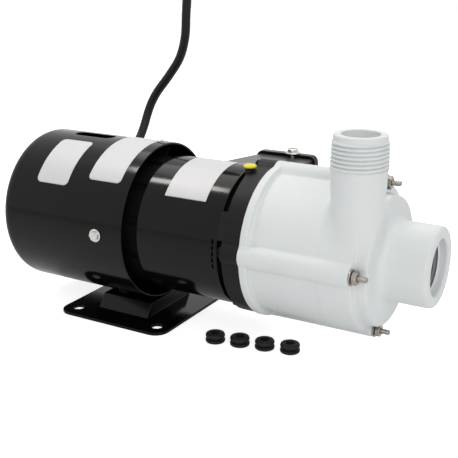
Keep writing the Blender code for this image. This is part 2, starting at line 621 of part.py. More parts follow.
# Casing bolts run from heads behind the adapter's lobes to the nuts in front of the casing bosses.
NUT_SEAT = BODY_FRONT + WASHER_HEIGHT + 2 * FIT
for number, angle in enumerate(BOLT_ANGLES, 1):
    place = Matrix.Translation(around(BOLT_CIRCLE, angle)) @ Matrix.Rotation(math.pi / 2, 4, "Y")
    bolt = rod(f"casing_bolt_{number}", BOLT_RADIUS, RING_REAR - FIT - 0.001,
               NUT_SEAT + NUT_HEIGHT + BOLT_TAIL,
               "stainless_steel", around(BOLT_CIRCLE, angle))
    join(bolt, prism("head", hexagon(NUT_FLATS * 0.9), RING_REAR - FIT - 0.0026, RING_REAR - FIT,
                     "stainless_steel", place))
    tube(f"casing_washer_{number}", BOLT_RADIUS + FIT, WASHER_RADIUS, BODY_FRONT + FIT,
         BODY_FRONT + FIT + WASHER_HEIGHT,
         "stainless_steel", around(BOLT_CIRCLE, angle))
    nut = prism(f"casing_nut_{number}", hexagon(NUT_FLATS), NUT_SEAT, NUT_SEAT + NUT_HEIGHT,
                "stainless_steel", place)
    cut(nut, rod("bore", BOLT_RADIUS + FIT, NUT_SEAT - 0.001, NUT_SEAT + NUT_HEIGHT + 0.001,
                 "stainless_steel",
                 around(BOLT_CIRCLE, angle)))

# Isolation cup: its flange closes the back of the pump head and its hat covers the drive magnet.
CUP_FLANGE_FRONT = CASING_REAR + CUP_FLANGE
SPIGOT_RADIUS = CUP_RADIUS - 0.0031
CUP_SPIGOT = CUP_FLANGE_FRONT + 0.0037
HAT_RADIUS = CUP_BORE + CUP_WALL
HAT_FRONT = CUP_BOTTOM + CUP_WALL
SPINDLE_SEAT = CUP_BOTTOM + 0.0007
CUP_BOSS_RADIUS = SPINDLE_RADIUS + 0.004
CUP_BOSS = HAT_FRONT + 0.003
turned("isolation_cup", [
    (SPINDLE_SEAT, 0), (SPINDLE_SEAT, SPINDLE_RADIUS + FIT), (CUP_BOSS, SPINDLE_RADIUS + FIT),
    (CUP_BOSS, CUP_BOSS_RADIUS), (HAT_FRONT, CUP_BOSS_RADIUS), (HAT_FRONT, HAT_RADIUS),
    (CUP_SPIGOT, HAT_RADIUS), (CUP_SPIGOT, SPIGOT_RADIUS),
    (CUP_FLANGE_FRONT, SPIGOT_RADIUS), (CUP_FLANGE_FRONT, CUP_RADIUS), (CASING_REAR, CUP_RADIUS),
    (CASING_REAR, CUP_BORE), (CUP_BOTTOM, CUP_BORE), (CUP_BOTTOM, 0)], "grey_nylon")

# O-ring between the cup's spigot and the casing's bore.
SEAL_SEAT = CUP_FLANGE_FRONT + FIT
SEAL_CIRCLE = SPIGOT_RADIUS + FIT + SEAL_RADIUS
turned("casing_o_ring", [
    (SEAL_SEAT + SEAL_RADIUS * (1 - math.cos(math.pi / 3 * k)),
     SEAL_CIRCLE + SEAL_RADIUS * math.sin(math.pi / 3 * k))
    for k in range(6)], "black_rubber")

# Drive hub and magnet on the motor shaft, inside the cup's hat.
HUB_SHARE = 0.266
MAGNET_RADIUS = CUP_BORE - RUNNING_GAP
HUB_RADIUS = SHAFT_RADIUS + HUB_SHARE * (MAGNET_RADIUS - SHAFT_RADIUS)
HUB_FLANGE = CUP_BORE - 0.003
MAGNET_REAR = CASING_REAR + 0.005
MAGNET_FRONT = MAGNET_REAR + MAGNET_LENGTH
hub = turned("drive_hub", [
    (HUB_REAR, SHAFT_RADIUS + FIT), (HUB_REAR, HUB_RADIUS + 0.002),
    (MAGNET_REAR - FIT - 0.003, HUB_RADIUS + 0.002),
    (MAGNET_REAR - FIT - 0.003, HUB_FLANGE), (MAGNET_REAR - FIT, HUB_FLANGE),
    (MAGNET_REAR - FIT, HUB_RADIUS),
    (MAGNET_FRONT - 0.001, HUB_RADIUS), (MAGNET_FRONT - 0.001, SHAFT_RADIUS + FIT)], "cast_aluminium")
SET_SCREW = 0.0018
SET_SCREW_X = HUB_REAR + 0.0040
cut(hub, rod("bore", SET_SCREW + FIT, 0, HUB_RADIUS + 0.003, "cast_aluminium",
             (SET_SCREW_X, 0, SHAFT_HEIGHT), (0, 0, 1)))
pivot(hub, (MAGNET_REAR, 0, SHAFT_HEIGHT))
screw = rod("hub_set_screw", SET_SCREW, SHAFT_RADIUS + FIT, HUB_RADIUS + 0.0012, "stainless_steel",
            (SET_SCREW_X, 0, SHAFT_HEIGHT), (0, 0, 1))
pivot(screw, (MAGNET_REAR, 0, SHAFT_HEIGHT))
magnet = tube("drive_magnet", HUB_RADIUS + FIT, MAGNET_RADIUS, MAGNET_REAR, MAGNET_FRONT, "ferrite")
pivot(magnet, (MAGNET_REAR, 0, SHAFT_HEIGHT))

# Driven magnet ring round the hat, and the impeller that it turns on the fixed spindle.
DRIVEN_BORE = HAT_RADIUS + RUNNING_GAP
DRIVEN_RADIUS = DRIVEN_BORE + DRIVEN_THICKNESS
DRIVEN_REAR = CUP_SPIGOT + RUNNING_GAP
DRIVEN_FRONT = DRIVEN_REAR + MAGNET_LENGTH
driven = tube("driven_magnet", DRIVEN_BORE, DRIVEN_RADIUS, DRIVEN_REAR, DRIVEN_FRONT, "ferrite")
pivot(driven, (DRIVEN_REAR, 0, SHAFT_HEIGHT))
WASHER_REAR = CUP_BOSS + FIT
THRUST_THICKNESS = 0.0012
BUSHING_REAR = WASHER_REAR + THRUST_THICKNESS + FIT
BUSHING_LENGTH = 0.0140
BUSHING_FRONT = BUSHING_REAR + BUSHING_LENGTH
BUSHING_RADIUS = SPINDLE_RADIUS + FIT + 0.0027
IMPELLER_PLATE = 0.0025
IMPELLER_REAR = BUSHING_REAR + 0.0006
VANE_REAR = IMPELLER_REAR + IMPELLER_PLATE
VANE_FRONT = VANE_REAR + VANE_HEIGHT
EYE_RADIUS = 0.0112
SHROUD_PLATE = 0.002
NECK_WALL = 0.0018
NECK_FRONT = VANE_FRONT + SHROUD_PLATE + 0.0035
impeller = turned("impeller", [
    (IMPELLER_REAR, BUSHING_RADIUS + FIT), (IMPELLER_REAR, DRIVEN_BORE), (DRIVEN_FRONT + FIT, DRIVEN_BORE),
    (DRIVEN_FRONT + FIT, DRIVEN_RADIUS - 0.0015), (IMPELLER_REAR, DRIVEN_RADIUS - 0.0015),
    (IMPELLER_REAR, IMPELLER_RADIUS),
    (VANE_REAR, IMPELLER_RADIUS), (VANE_REAR, BUSHING_RADIUS + 0.002),
    (BUSHING_FRONT, BUSHING_RADIUS + 0.0014),
    (BUSHING_FRONT, BUSHING_RADIUS + FIT)], "white_polypropylene")
for k in range(VANES):
    path = []
    for step in range(5):
        share = step / 4
        radius = EYE_RADIUS - 0.0005 + (IMPELLER_RADIUS - EYE_RADIUS) * share
        angle = 2 * math.pi * k / VANES + 1.15 * share
        path.append((radius * math.cos(angle), radius * math.sin(angle)))
    outline = []
    for side in (1, -1):
        run = []
        for step, (y, z) in enumerate(path):
            before, after = path[max(step - 1, 0)], path[min(step + 1, 4)]
            along = Vector((after[0] - before[0], after[1] - before[1])).normalized()
            run.append((y - side * 0.0008 * along.y, z + side * 0.0008 * along.x))
        outline += run if side == 1 else list(reversed(run))
    place = Matrix(((0, 0, 1, 0), (1, 0, 0, 0), (0, 1, 0, SHAFT_HEIGHT), (0, 0, 0, 1)))
    join(impeller, prism("vane", outline, VANE_REAR - 0.0005, VANE_FRONT + 0.0005, "white_polypropylene",
                         place))
join(impeller, turned("front_shroud", [
    (VANE_FRONT, EYE_RADIUS), (VANE_FRONT, IMPELLER_RADIUS), (VANE_FRONT + SHROUD_PLATE, IMPELLER_RADIUS),
    (VANE_FRONT + SHROUD_PLATE, EYE_RADIUS + NECK_WALL), (NECK_FRONT, EYE_RADIUS + NECK_WALL),
    (NECK_FRONT, EYE_RADIUS)],
    "white_polypropylene"))
pivot(impeller, (DRIVEN_REAR, 0, SHAFT_HEIGHT))
bushing = tube("impeller_bushing", SPINDLE_RADIUS + FIT, BUSHING_RADIUS, BUSHING_REAR, BUSHING_FRONT,
               "carbon_graphite")
pivot(bushing, (DRIVEN_REAR, 0, SHAFT_HEIGHT))
THRUST_RADIUS = SPINDLE_RADIUS + 0.0034
tube("thrust_washer_rear", SPINDLE_RADIUS + FIT, THRUST_RADIUS, WASHER_REAR, WASHER_REAR + THRUST_THICKNESS,
     "ceramic")
FRONT_WASHER = BUSHING_FRONT + FIT
tube("thrust_washer_front", SPINDLE_RADIUS + FIT, THRUST_RADIUS, FRONT_WASHER,
     FRONT_WASHER + THRUST_THICKNESS, "ceramic")
SPIDER_REAR = FRONT_WASHER + THRUST_THICKNESS + FIT
SPIDER_RADIUS = SPINDLE_RADIUS + 0.0022
SPIDER_FRONT = SPIDER_REAR + 0.0105
SPINDLE_FRONT = SPIDER_FRONT - 0.0025
rod("spindle", SPINDLE_RADIUS, SPINDLE_SEAT + FIT, SPINDLE_FRONT - FIT, "ceramic")

# Volute casing, outside: a flanged body with four half-round bosses, a volute nose, the inlet
# and an upright outlet that leaves the near side of the volute.
EDGE = 0.0008
casing = turned("volute_casing", [
    (CASING_REAR, 0), (CASING_REAR, FLANGE_RADIUS - EDGE), (CASING_REAR + EDGE, FLANGE_RADIUS),
    (FLANGE_FRONT - EDGE, FLANGE_RADIUS), (FLANGE_FRONT, FLANGE_RADIUS - EDGE),
    (FLANGE_FRONT, BODY_RADIUS + 0.0011),
    (FLANGE_FRONT + 0.0011, BODY_RADIUS), (BODY_FRONT - 0.003, BODY_RADIUS),
    (BODY_FRONT - 0.0009, BODY_RADIUS - 0.0009),
    (BODY_FRONT, BODY_RADIUS - 0.003), (BODY_FRONT, 0)], "white_polypropylene")
for angle in BOLT_ANGLES:
    join(casing, rod("boss", BOSS_RADIUS, CASING_REAR, BODY_FRONT, "white_polypropylene",
                     around(BOSS_CIRCLE, angle)))


def volute_ring(work, x, trim):
    """One ring of the nose: its radius grows all the way round from the outlet's far side to the outlet."""
    sides = facets(NOSE_RADIUS)
    ring = []
    for k in range(sides):
        turn = k / sides
        radius = NOSE_RADIUS - trim + NOSE_GROWTH * turn * (1 if turn < 0.86 else (1 - turn) / 0.14)
        angle = 20 + 360 * turn
        ring.append(work.verts.new(around(radius, -angle, x)))
    return ring


nose = bmesh.new()
rings = [volute_ring(nose, x, trim) for x, trim in (
    (BODY_FRONT - 0.006, 0), (NOSE_FRONT - 0.0022, 0), (NOSE_FRONT - 0.0006, 0.0006), (NOSE_FRONT, 0.0022))]
for first, second in zip(rings, rings[1:]):
    for k in range(len(first)):
        after = (k + 1) % len(first)
        nose.faces.new((first[k], first[after], second[after], second[k]))
nose.faces.new(rings[0])
nose.faces.new(rings[-1])
join(casing, add("nose", nose, "white_polypropylene"))
join(casing, turned("inlet", [
    (BODY_FRONT, 0), (BODY_FRONT, INLET_RADIUS + 0.005), (NOSE_FRONT - 0.0004, INLET_RADIUS + 0.005),
    (NOSE_FRONT + 0.0012, INLET_RADIUS + 0.0022), (NOSE_FRONT + 0.004, INLET_RADIUS + 0.0006),
    (NOSE_FRONT + 0.008, INLET_RADIUS),
    (INLET_FRONT - 0.003, INLET_RADIUS), (INLET_FRONT - 0.0009, INLET_RADIUS - 0.0009),
    (INLET_FRONT, INLET_RADIUS - 0.003),
    (INLET_FRONT, 0)], "white_polypropylene"))
OUTLET_FOOT = Vector((OUTLET_X, OUTLET_ACROSS, SHAFT_HEIGHT))
THREAD_FOOT = OUTLET_TOP - OUTLET_THREAD
join(casing, turned("outlet", [
    (0, 0), (0, TUBE_ROOT_RADIUS), (THREAD_FOOT - 0.004, TUBE_RADIUS), (THREAD_FOOT, TUBE_RADIUS + 0.0002),
    (THREAD_FOOT + 0.0008, THREAD_RADIUS), (OUTLET_TOP - 0.0006, THREAD_RADIUS - OUTLET_THREAD / 32),
    (OUTLET_TOP, THREAD_RADIUS - OUTLET_THREAD / 32 - 0.0006), (OUTLET_TOP, 0)], "white_polypropylene",
    OUTLET_FOOT, (0, 0, 1)))

# Volute casing, inside: the cup's seat, the magnet chamber, the spiral channel, the eye, the
# threaded inlet and the outlet bore. Three arms hold the spindle's front end in the throat.
CHAMBER_RADIUS = DRIVEN_RADIUS + RUNNING_GAP
SEAL_BORE = SEAL_CIRCLE + SEAL_RADIUS + FIT
SEAL_END = SEAL_SEAT + 2 * SEAL_RADIUS + FIT
COVER_REAR = VANE_FRONT + SHROUD_PLATE + RUNNING_GAP
CHANNEL_RADIUS = NOSE_RADIUS - 0.0045
CHANNEL_FRONT = NOSE_FRONT - 0.0045
EYE_BORE = EYE_RADIUS + NECK_WALL + 0.0006
THREAD_END = INLET_FRONT - INLET_THREAD
cut(casing, turned("chamber", [
    (CASING_REAR - 0.001, 0), (CASING_REAR - 0.001, CUP_RADIUS + FIT),
    (CUP_FLANGE_FRONT + FIT, CUP_RADIUS + FIT),
    (CUP_FLANGE_FRONT + FIT, SEAL_BORE), (SEAL_END, SEAL_BORE), (SEAL_END, CHAMBER_RADIUS),
    (IMPELLER_REAR - 0.002, CHAMBER_RADIUS), (IMPELLER_REAR - 0.002, BODY_RADIUS - 0.005),
    (BODY_FRONT - 0.006, BODY_RADIUS - 0.005),
    (BODY_FRONT - 0.0055, CHANNEL_RADIUS), (CHANNEL_FRONT, CHANNEL_RADIUS - 0.001),
    (CHANNEL_FRONT, CHANNEL_RADIUS - 0.006),
    (COVER_REAR, IMPELLER_RADIUS - 0.010), (COVER_REAR, EYE_BORE), (NECK_FRONT + RUNNING_GAP, EYE_BORE),
    (NECK_FRONT + RUNNING_GAP, THROAT_RADIUS), (THREAD_END - 0.003, THROAT_RADIUS),
    (THREAD_END, INLET_BORE - INLET_THREAD / 32), (INLET_FRONT - INLET_LEAD_DEPTH, INLET_BORE),
    (INLET_FRONT - INLET_LEAD_DEPTH, INLET_LEAD), (INLET_FRONT - 0.0009, INLET_LEAD),
    (INLET_FRONT + 0.0006, INLET_LEAD + 0.0015), (INLET_FRONT + 0.001, 0)],
    "white_polypropylene"))
cut(casing, turned("outlet_bore", [
    (0.004, 0), (0.004, OUTLET_BORE - 0.0015), (OUTLET_TOP - 0.001, OUTLET_BORE),
    (OUTLET_TOP + 0.001, OUTLET_BORE + 0.001),
    (OUTLET_TOP + 0.001, 0)], "white_polypropylene", OUTLET_FOOT, (0, 0, 1)))
for angle in BOLT_ANGLES:
    cut(casing, rod("bore", BOLT_RADIUS + FIT, CASING_REAR - 0.001, BODY_FRONT + 0.001,
                    "white_polypropylene",
                    around(BOLT_CIRCLE, angle)))
# Each washer sits in a round relief where the volute's nose comes near its bolt.
for angle in BOLT_ANGLES:
    cut(casing, rod("relief", WASHER_RADIUS + RUNNING_GAP / 2, BODY_FRONT, NOSE_FRONT + 0.002,
                    "white_polypropylene",
                    around(BOLT_CIRCLE, angle)))
spider = turned("spider", [
    (SPIDER_REAR, SPINDLE_RADIUS + FIT), (SPIDER_REAR, SPIDER_RADIUS),
    (SPIDER_FRONT - 0.001, SPIDER_RADIUS),
    (SPIDER_FRONT, SPIDER_RADIUS - 0.0015), (SPIDER_FRONT, 0), (SPINDLE_FRONT, 0),
    (SPINDLE_FRONT, SPINDLE_RADIUS + FIT)],
    "white_polypropylene")
for k in range(3):
    arm = block("arm", (NECK_FRONT + RUNNING_GAP + FIT, SPIDER_RADIUS - 0.0005, -0.0012),
                (SPIDER_FRONT - 0.001, THROAT_RADIUS + 0.002, 0.0012), "white_polypropylene")
    arm.data.transform(Matrix.Translation(SHAFT_AXIS) @ Matrix.Rotation(2 * math.pi * k / 3, 4, "X"))
    join(spider, arm)
join(casing, spider)

# Wiring box: a sheet box on the motor's far side, cut to clear the shell and the pump head.
BOX_FRONT = BOX_REAR + BOX_LENGTH
BOX_BOTTOM = BOX_TOP - BOX_DROP
CLEAR_HEAD = FLANGE_RADIUS + 0.0035
NEAR = 0.004


def box_block(name, inset, open_to):
    """The box's block, inset by a wall on every side but the far one. Its rear side flares to the motor."""
    plan = [(BOX_REAR - BOX_FLARE + inset, NEAR), (BOX_FRONT - inset, NEAR), (BOX_FRONT - inset, open_to),
            (BOX_REAR + inset, open_to), (BOX_REAR + inset, BOX_OUT - LID_RIM - FIT)]
    return prism(name, plan, SHAFT_HEIGHT + BOX_BOTTOM + inset, SHAFT_HEIGHT + BOX_TOP - inset,
                 "dark_cast_paint")


box = box_block("wiring_box", 0, BOX_OUT)
cut(box, rod("clear", SHELL_RADIUS + FIT, BOX_REAR - 2 * BOX_FLARE, SHELL_FRONT + 0.001, "dark_cast_paint"))
cut(box, rod("clear", CLEAR_HEAD, SHELL_FRONT, BOX_FRONT + 0.01, "dark_cast_paint"))
room = box_block("room", BOX_WALL, BOX_OUT + 0.01)
cut(room, rod("clear", SHELL_RADIUS + FIT + BOX_WALL, BOX_REAR - 2 * BOX_FLARE, SHELL_FRONT - BOX_WALL,
              "dark_cast_paint"))
cut(room, rod("clear", CLEAR_HEAD + BOX_WALL, SHELL_FRONT - BOX_WALL - 0.001, BOX_FRONT + 0.01,
              "dark_cast_paint"))
cut(box, room)

# Lid: a shallow pan with round corners over the box's open side, and its screw on top.
LID_LENGTH = BOX_LENGTH + 2 * LID_MARGIN
LID_HEIGHT = BOX_DROP + 2 * LID_MARGIN
lid_middle = Vector(((BOX_REAR + BOX_FRONT) / 2, BOX_OUT + FIT, SHAFT_HEIGHT + (BOX_TOP + BOX_BOTTOM) / 2))
face = Matrix.Translation(lid_middle) @ Matrix(((1, 0, 0, 0), (0, 0, 1, 0), (0, 1, 0, 0), (0, 0, 0, 1)))
lid = prism("wiring_box_lid", rounded(LID_LENGTH, LID_HEIGHT, 0.0045, 4), -LID_RIM, BOX_WALL,
            "black_gloss_enamel", face)
cut(lid, prism("pan", rounded(LID_LENGTH - 2 * BOX_WALL, LID_HEIGHT - 2 * BOX_WALL, 0.003, 4),
               -LID_RIM - 0.001, 0,
               "black_gloss_enamel", face))
LID_SCREW = 0.0015
LID_SCREW_HEAD = 0.0084
lid_top = SHAFT_HEIGHT + BOX_TOP + LID_MARGIN
LID_SCREW_SETBACK = 0.0243
screw_place = Vector((BOX_REAR + LID_SCREW_SETBACK, BOX_OUT - LID_RIM / 2, 0))
cut(lid, rod("hole", LID_SCREW + FIT, lid_top - 0.003, lid_top + 0.001, "stainless_steel", screw_place,
             (0, 0, 1)))
cut(box, rod("hole", LID_SCREW + FIT, lid_top - 0.008, lid_top + 0.001, "stainless_steel", screw_place,
             (0, 0, 1)))
lid_screw = rod("lid_screw", LID_SCREW, lid_top - 0.0065, lid_top + 0.002, "stainless_steel", screw_place,
                (0, 0, 1))
join(lid_screw, prism("head", hexagon(LID_SCREW_HEAD * 0.82), lid_top + FIT, lid_top + 0.0035,
                      "stainless_steel",
                      Matrix.Translation(screw_place)))
join(lid_screw, rod("flange", LID_SCREW_HEAD / 2 + 0.0008, lid_top + FIT, lid_top + 0.0009,
                    "stainless_steel",
                    screw_place, (0, 0, 1)))

# Terminal block: a moulded bar under the box's top wall, with three screw wells.
TERMINAL_LENGTH = BOX_LENGTH - 0.0089
TERMINAL_WIDTH = 0.0050
terminal_top = SHAFT_HEIGHT + BOX_TOP - BOX_WALL - FIT
terminal_out = BOX_OUT - LID_RIM / 2 - LID_SCREW - 3 * FIT
terminal_in = terminal_out - TERMINAL_WIDTH
terminal_low = SHAFT_HEIGHT + math.sqrt((CLEAR_HEAD + BOX_WALL + FIT) ** 2 - terminal_in ** 2) + 2 * FIT
terminal_x = (BOX_REAR + BOX_FRONT) / 2
terminal = block("terminal_block", (terminal_x - TERMINAL_LENGTH / 2, terminal_in, terminal_low),
                 (terminal_x + TERMINAL_LENGTH / 2, terminal_out, terminal_top), "grey_nylon")
for k in (-1, 0, 1):
    well = (terminal_x + k * TERMINAL_LENGTH / 3, terminal_in, (terminal_low + terminal_top) / 2)
    cut(terminal, rod("well", (terminal_top - terminal_low) * 0.28, TERMINAL_WIDTH / 2,
                      TERMINAL_WIDTH + 0.001,
                      "grey_nylon", well, (0, 1, 0)))

# Strain relief: a tapered bushing in the shroud's far side, with its own groove for the sheet.
relief_start = Vector((RELIEF_X, 0, SHAFT_HEIGHT))
relief_flange = RELIEF_BORE + 0.0012
sheet_inside = SHROUD_RADIUS - SHROUD_WALL - 0.0010
sheet_outside = SHROUD_RADIUS + FIT
relief_end = SHROUD_RADIUS + RELIEF_LENGTH
turned("strain_relief", [
    (sheet_inside - 0.0022, 0), (sheet_inside - 0.0022, relief_flange), (sheet_inside, relief_flange),
    (sheet_inside, RELIEF_BORE), (sheet_outside, RELIEF_BORE), (sheet_outside, relief_flange),
    (sheet_outside + 0.0022, relief_flange - 0.0002), (relief_end, LEAD_RADIUS + 0.0012), (relief_end, 0)],
    "black_rubber", relief_start, outward(RELIEF_ANGLE))

# Mains lead: it leaves the bushing, turns upward and rises to its plug, held from above.
LEAD_RUN = [(-0.0505, 0.0700, 0.1037), (-0.0501, 0.0742, 0.1102), (-0.0491, 0.0774, 0.1171),
            (-0.0469, 0.0800, 0.1238), (-0.0436, 0.0821, 0.1298), (-0.0396, 0.0837, 0.1357),
            (-0.0310, 0.0856, 0.1483), (-0.0226, 0.0864, 0.1617), (-0.0174, 0.0852, 0.1773),
            (-0.0156, 0.0838, 0.1932), (-0.0149, 0.0831, 0.2043), (-0.0149, 0.0830, 0.2103)]


def smooth_run(points, spacing):
    """Points at an even spacing on a smooth curve through the given ones, ends included."""
    fine = []
    for k in range(len(points) - 1):
        p0, p1, p2, p3 = (Vector(points[min(max(k + j, 0), len(points) - 1)]) for j in (-1, 0, 1, 2))
        for step in range(12):
            t = step / 12
            fine.append(0.5 * ((2 * p1) + (p2 - p0) * t + (2 * p0 - 5 * p1 + 4 * p2 - p3) * t ** 2
                               + (3 * p1 - p0 - 3 * p2 + p3) * t ** 3))
    fine.append(Vector(points[-1]))
    lengths = [0.0]
    for a, b in zip(fine, fine[1:]):
        lengths.append(lengths[-1] + (b - a).length)
    count = max(2, round(lengths[-1] / spacing))
    even = []
    for k in range(count + 1):
        want = lengths[-1] * k / count
        place = next((n for n in range(1, len(fine)) if lengths[n] >= want), len(fine) - 1)
        share = (want - lengths[place - 1]) / (lengths[place] - lengths[place - 1])
        even.append(fine[place - 1].lerp(fine[place], min(share, 1)))
    return even


lead_start = relief_start + outward(RELIEF_ANGLE) * (relief_end + FIT)
run = [lead_start] + smooth_run([lead_start + outward(RELIEF_ANGLE) * LEAD_RADIUS] + LEAD_RUN, 0.007)
curve = bpy.data.curves.new("power_cord", "CURVE")
curve.dimensions = "3D"
curve.bevel_depth = LEAD_RADIUS
curve.bevel_resolution = 2
curve.use_fill_caps = True
line = curve.splines.new("POLY")
line.points.add(len(run) - 1)
for point, place in zip(line.points, run):
    point.co = (*place, 1)
lead = bpy.data.objects.new("power_cord", curve)
bpy.context.collection.objects.link(lead)
curve.materials.append(material("black_rubber"))

# Plug: a tapered moulded body with three pins, at the lead's upper end.
plug_start = Vector(LEAD_RUN[-1]) + Vector((0, 0, FIT))
plug = turned("power_plug", [
    (0, 0), (0, LEAD_RADIUS + 0.001), (0.012, LEAD_RADIUS + 0.0025), (0.014, 0.0095), (0.017, 0.0125),
    (0.033, 0.0130),
    (0.034, 0.0120), (0.034, 0)], "black_rubber", plug_start, (0, 0, 1))
for across, depth, width, reach in ((-0.00635, 0.00075, 0.0032, 0.0155),
                                    (0.00635, 0.00075, 0.0032, 0.0155)):
    join(plug, block("blade", (plug_start.x + across - depth, plug_start.y - width, plug_start.z + 0.030),
                     (plug_start.x + across + depth, plug_start.y + width, plug_start.z + 0.034 + reach),
                     "black_rubber"))
join(plug, rod("pin", 0.0024, 0.030, 0.034 + 0.0175, "black_rubber", plug_start + Vector((0, 0.0065, 0)),
               (0, 0, 1)))

# Four loose grommets for the base's holes, in a row in front of the pump.
for number in range(4):
    share = number / 3
    middle = (GROMMET_FIRST[0] + (GROMMET_LAST[0] - GROMMET_FIRST[0]) * share,
              GROMMET_FIRST[1] + (GROMMET_LAST[1] - GROMMET_FIRST[1]) * share, 0)
    groove = BASE_SHEET / 2 + 0.0002
    half = GROMMET_HEIGHT / 2
    side = BASE_HOLE / 2
    turned(f"grommet_{number + 1}", [
        (0, GROMMET_BORE), (0, GROMMET_RADIUS - 0.0013), (0.0010, GROMMET_RADIUS),
        (half - groove, GROMMET_RADIUS), (half - groove * 0.5, side), (half + groove * 0.5, side),
        (half + groove, GROMMET_RADIUS), (GROMMET_HEIGHT - 0.0010, GROMMET_RADIUS),
        (GROMMET_HEIGHT, GROMMET_RADIUS - 0.0013), (GROMMET_HEIGHT, GROMMET_BORE)],
        "black_rubber", middle, (0, 0, 1))
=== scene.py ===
"""Magnetic drive pump, dressed for the picture on the frame of its CAD model, in metres.

The shaft lies along X at 64 mm above the floor. Angles round the shaft are counted from
straight up toward -Y, the side that faces the camera.
"""
import math

import bmesh
import bpy
import numpy as np
from mathutils import Matrix, Vector


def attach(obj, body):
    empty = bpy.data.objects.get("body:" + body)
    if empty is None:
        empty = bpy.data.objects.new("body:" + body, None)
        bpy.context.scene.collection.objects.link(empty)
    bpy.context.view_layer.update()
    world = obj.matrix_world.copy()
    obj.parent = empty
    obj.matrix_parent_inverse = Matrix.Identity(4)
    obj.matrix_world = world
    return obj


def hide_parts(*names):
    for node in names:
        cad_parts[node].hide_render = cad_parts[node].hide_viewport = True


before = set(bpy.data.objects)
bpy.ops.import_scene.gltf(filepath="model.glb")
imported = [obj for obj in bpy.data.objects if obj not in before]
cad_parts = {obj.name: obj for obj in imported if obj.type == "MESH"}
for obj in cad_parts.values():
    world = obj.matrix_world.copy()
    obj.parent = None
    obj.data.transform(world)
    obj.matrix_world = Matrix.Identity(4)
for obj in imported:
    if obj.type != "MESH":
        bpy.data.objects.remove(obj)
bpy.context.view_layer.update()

# Camera and floor. The camera looks down on the pump from the inlet's side, and the floor is a
# plain white sheet that keeps a soft shadow under the pump.
azimuth, pitch = math.radians(29.8), math.radians(17.7)
back = (math.sin(azimuth) * math.cos(pitch), -math.cos(azimuth) * math.cos(pitch), math.sin(pitch))
right = (math.cos(azimuth), math.sin(azimuth), 0.0)
up = tuple(np.cross(back, right))
camera = bpy.data.objects.new("camera", bpy.data.cameras.new("camera"))
bpy.context.collection.objects.link(camera)
camera.data.sensor_width = 36.0
camera.data.lens = 36.0 * 861.6 / 458.0
camera.data.clip_start = 0.01
camera_turn = Matrix((right, up, back)).transposed().to_4x4()
camera.matrix_world = Matrix.Translation((0.3331, -0.4630, 0.2356)) @ camera_turn
bpy.context.scene.camera = camera
bpy.context.scene.view_settings.view_transform = "Standard"


def mesh_piece(name, grids, finish, body="pump_body", sharp=35.0):
    """One piece from one or more grids of points, each given as (points, closed round, closed along).

    The four corners of a cell (i, j), (i + 1, j), (i + 1, j + 1), (i, j + 1) make a face, with the
    indices taken round where the grid is closed. A grid's normal is its first direction crossed
    with its second.
    """
    points, faces, start = [], [], 0
    for grid, round_closed, along_closed in grids:
        rows, columns = grid.shape[:2]
        i, j = np.meshgrid(np.arange(rows - (not round_closed)), np.arange(columns - (not along_closed)),
                           indexing="ij")
        after_i, after_j = (i + 1) % rows, (j + 1) % columns
        corners = np.stack([i * columns + j, after_i * columns + j,
                            after_i * columns + after_j, i * columns + after_j], axis=-1)
        points.append(grid.reshape(-1, 3))
        faces.append(corners.reshape(-1, 4) + start)
        start += rows * columns
    points, faces = np.concatenate(points), np.concatenate(faces)
    mesh = bpy.data.meshes.new(name)
    mesh.vertices.add(len(points))
    mesh.vertices.foreach_set("co", points.astype(np.float32).ravel())
    mesh.loops.add(faces.size)
    mesh.loops.foreach_set("vertex_index", faces.astype(np.int32).ravel())
    mesh.polygons.add(len(faces))
    mesh.polygons.foreach_set("loop_start", np.arange(0, faces.size, 4, dtype=np.int32))
    mesh.update(calc_edges=True)
    work = bmesh.new()
    work.from_mesh(mesh)
    bmesh.ops.remove_doubles(work, verts=work.verts, dist=1e-7)
    work.to_mesh(mesh)
    work.free()
    mesh.shade_smooth()
    mesh.set_sharp_from_angle(angle=math.radians(sharp))
    mesh.materials.append(finish)
    piece = bpy.data.objects.new(name, mesh)
    bpy.context.collection.objects.link(piece)
    if body:
        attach(piece, body)
    return piece


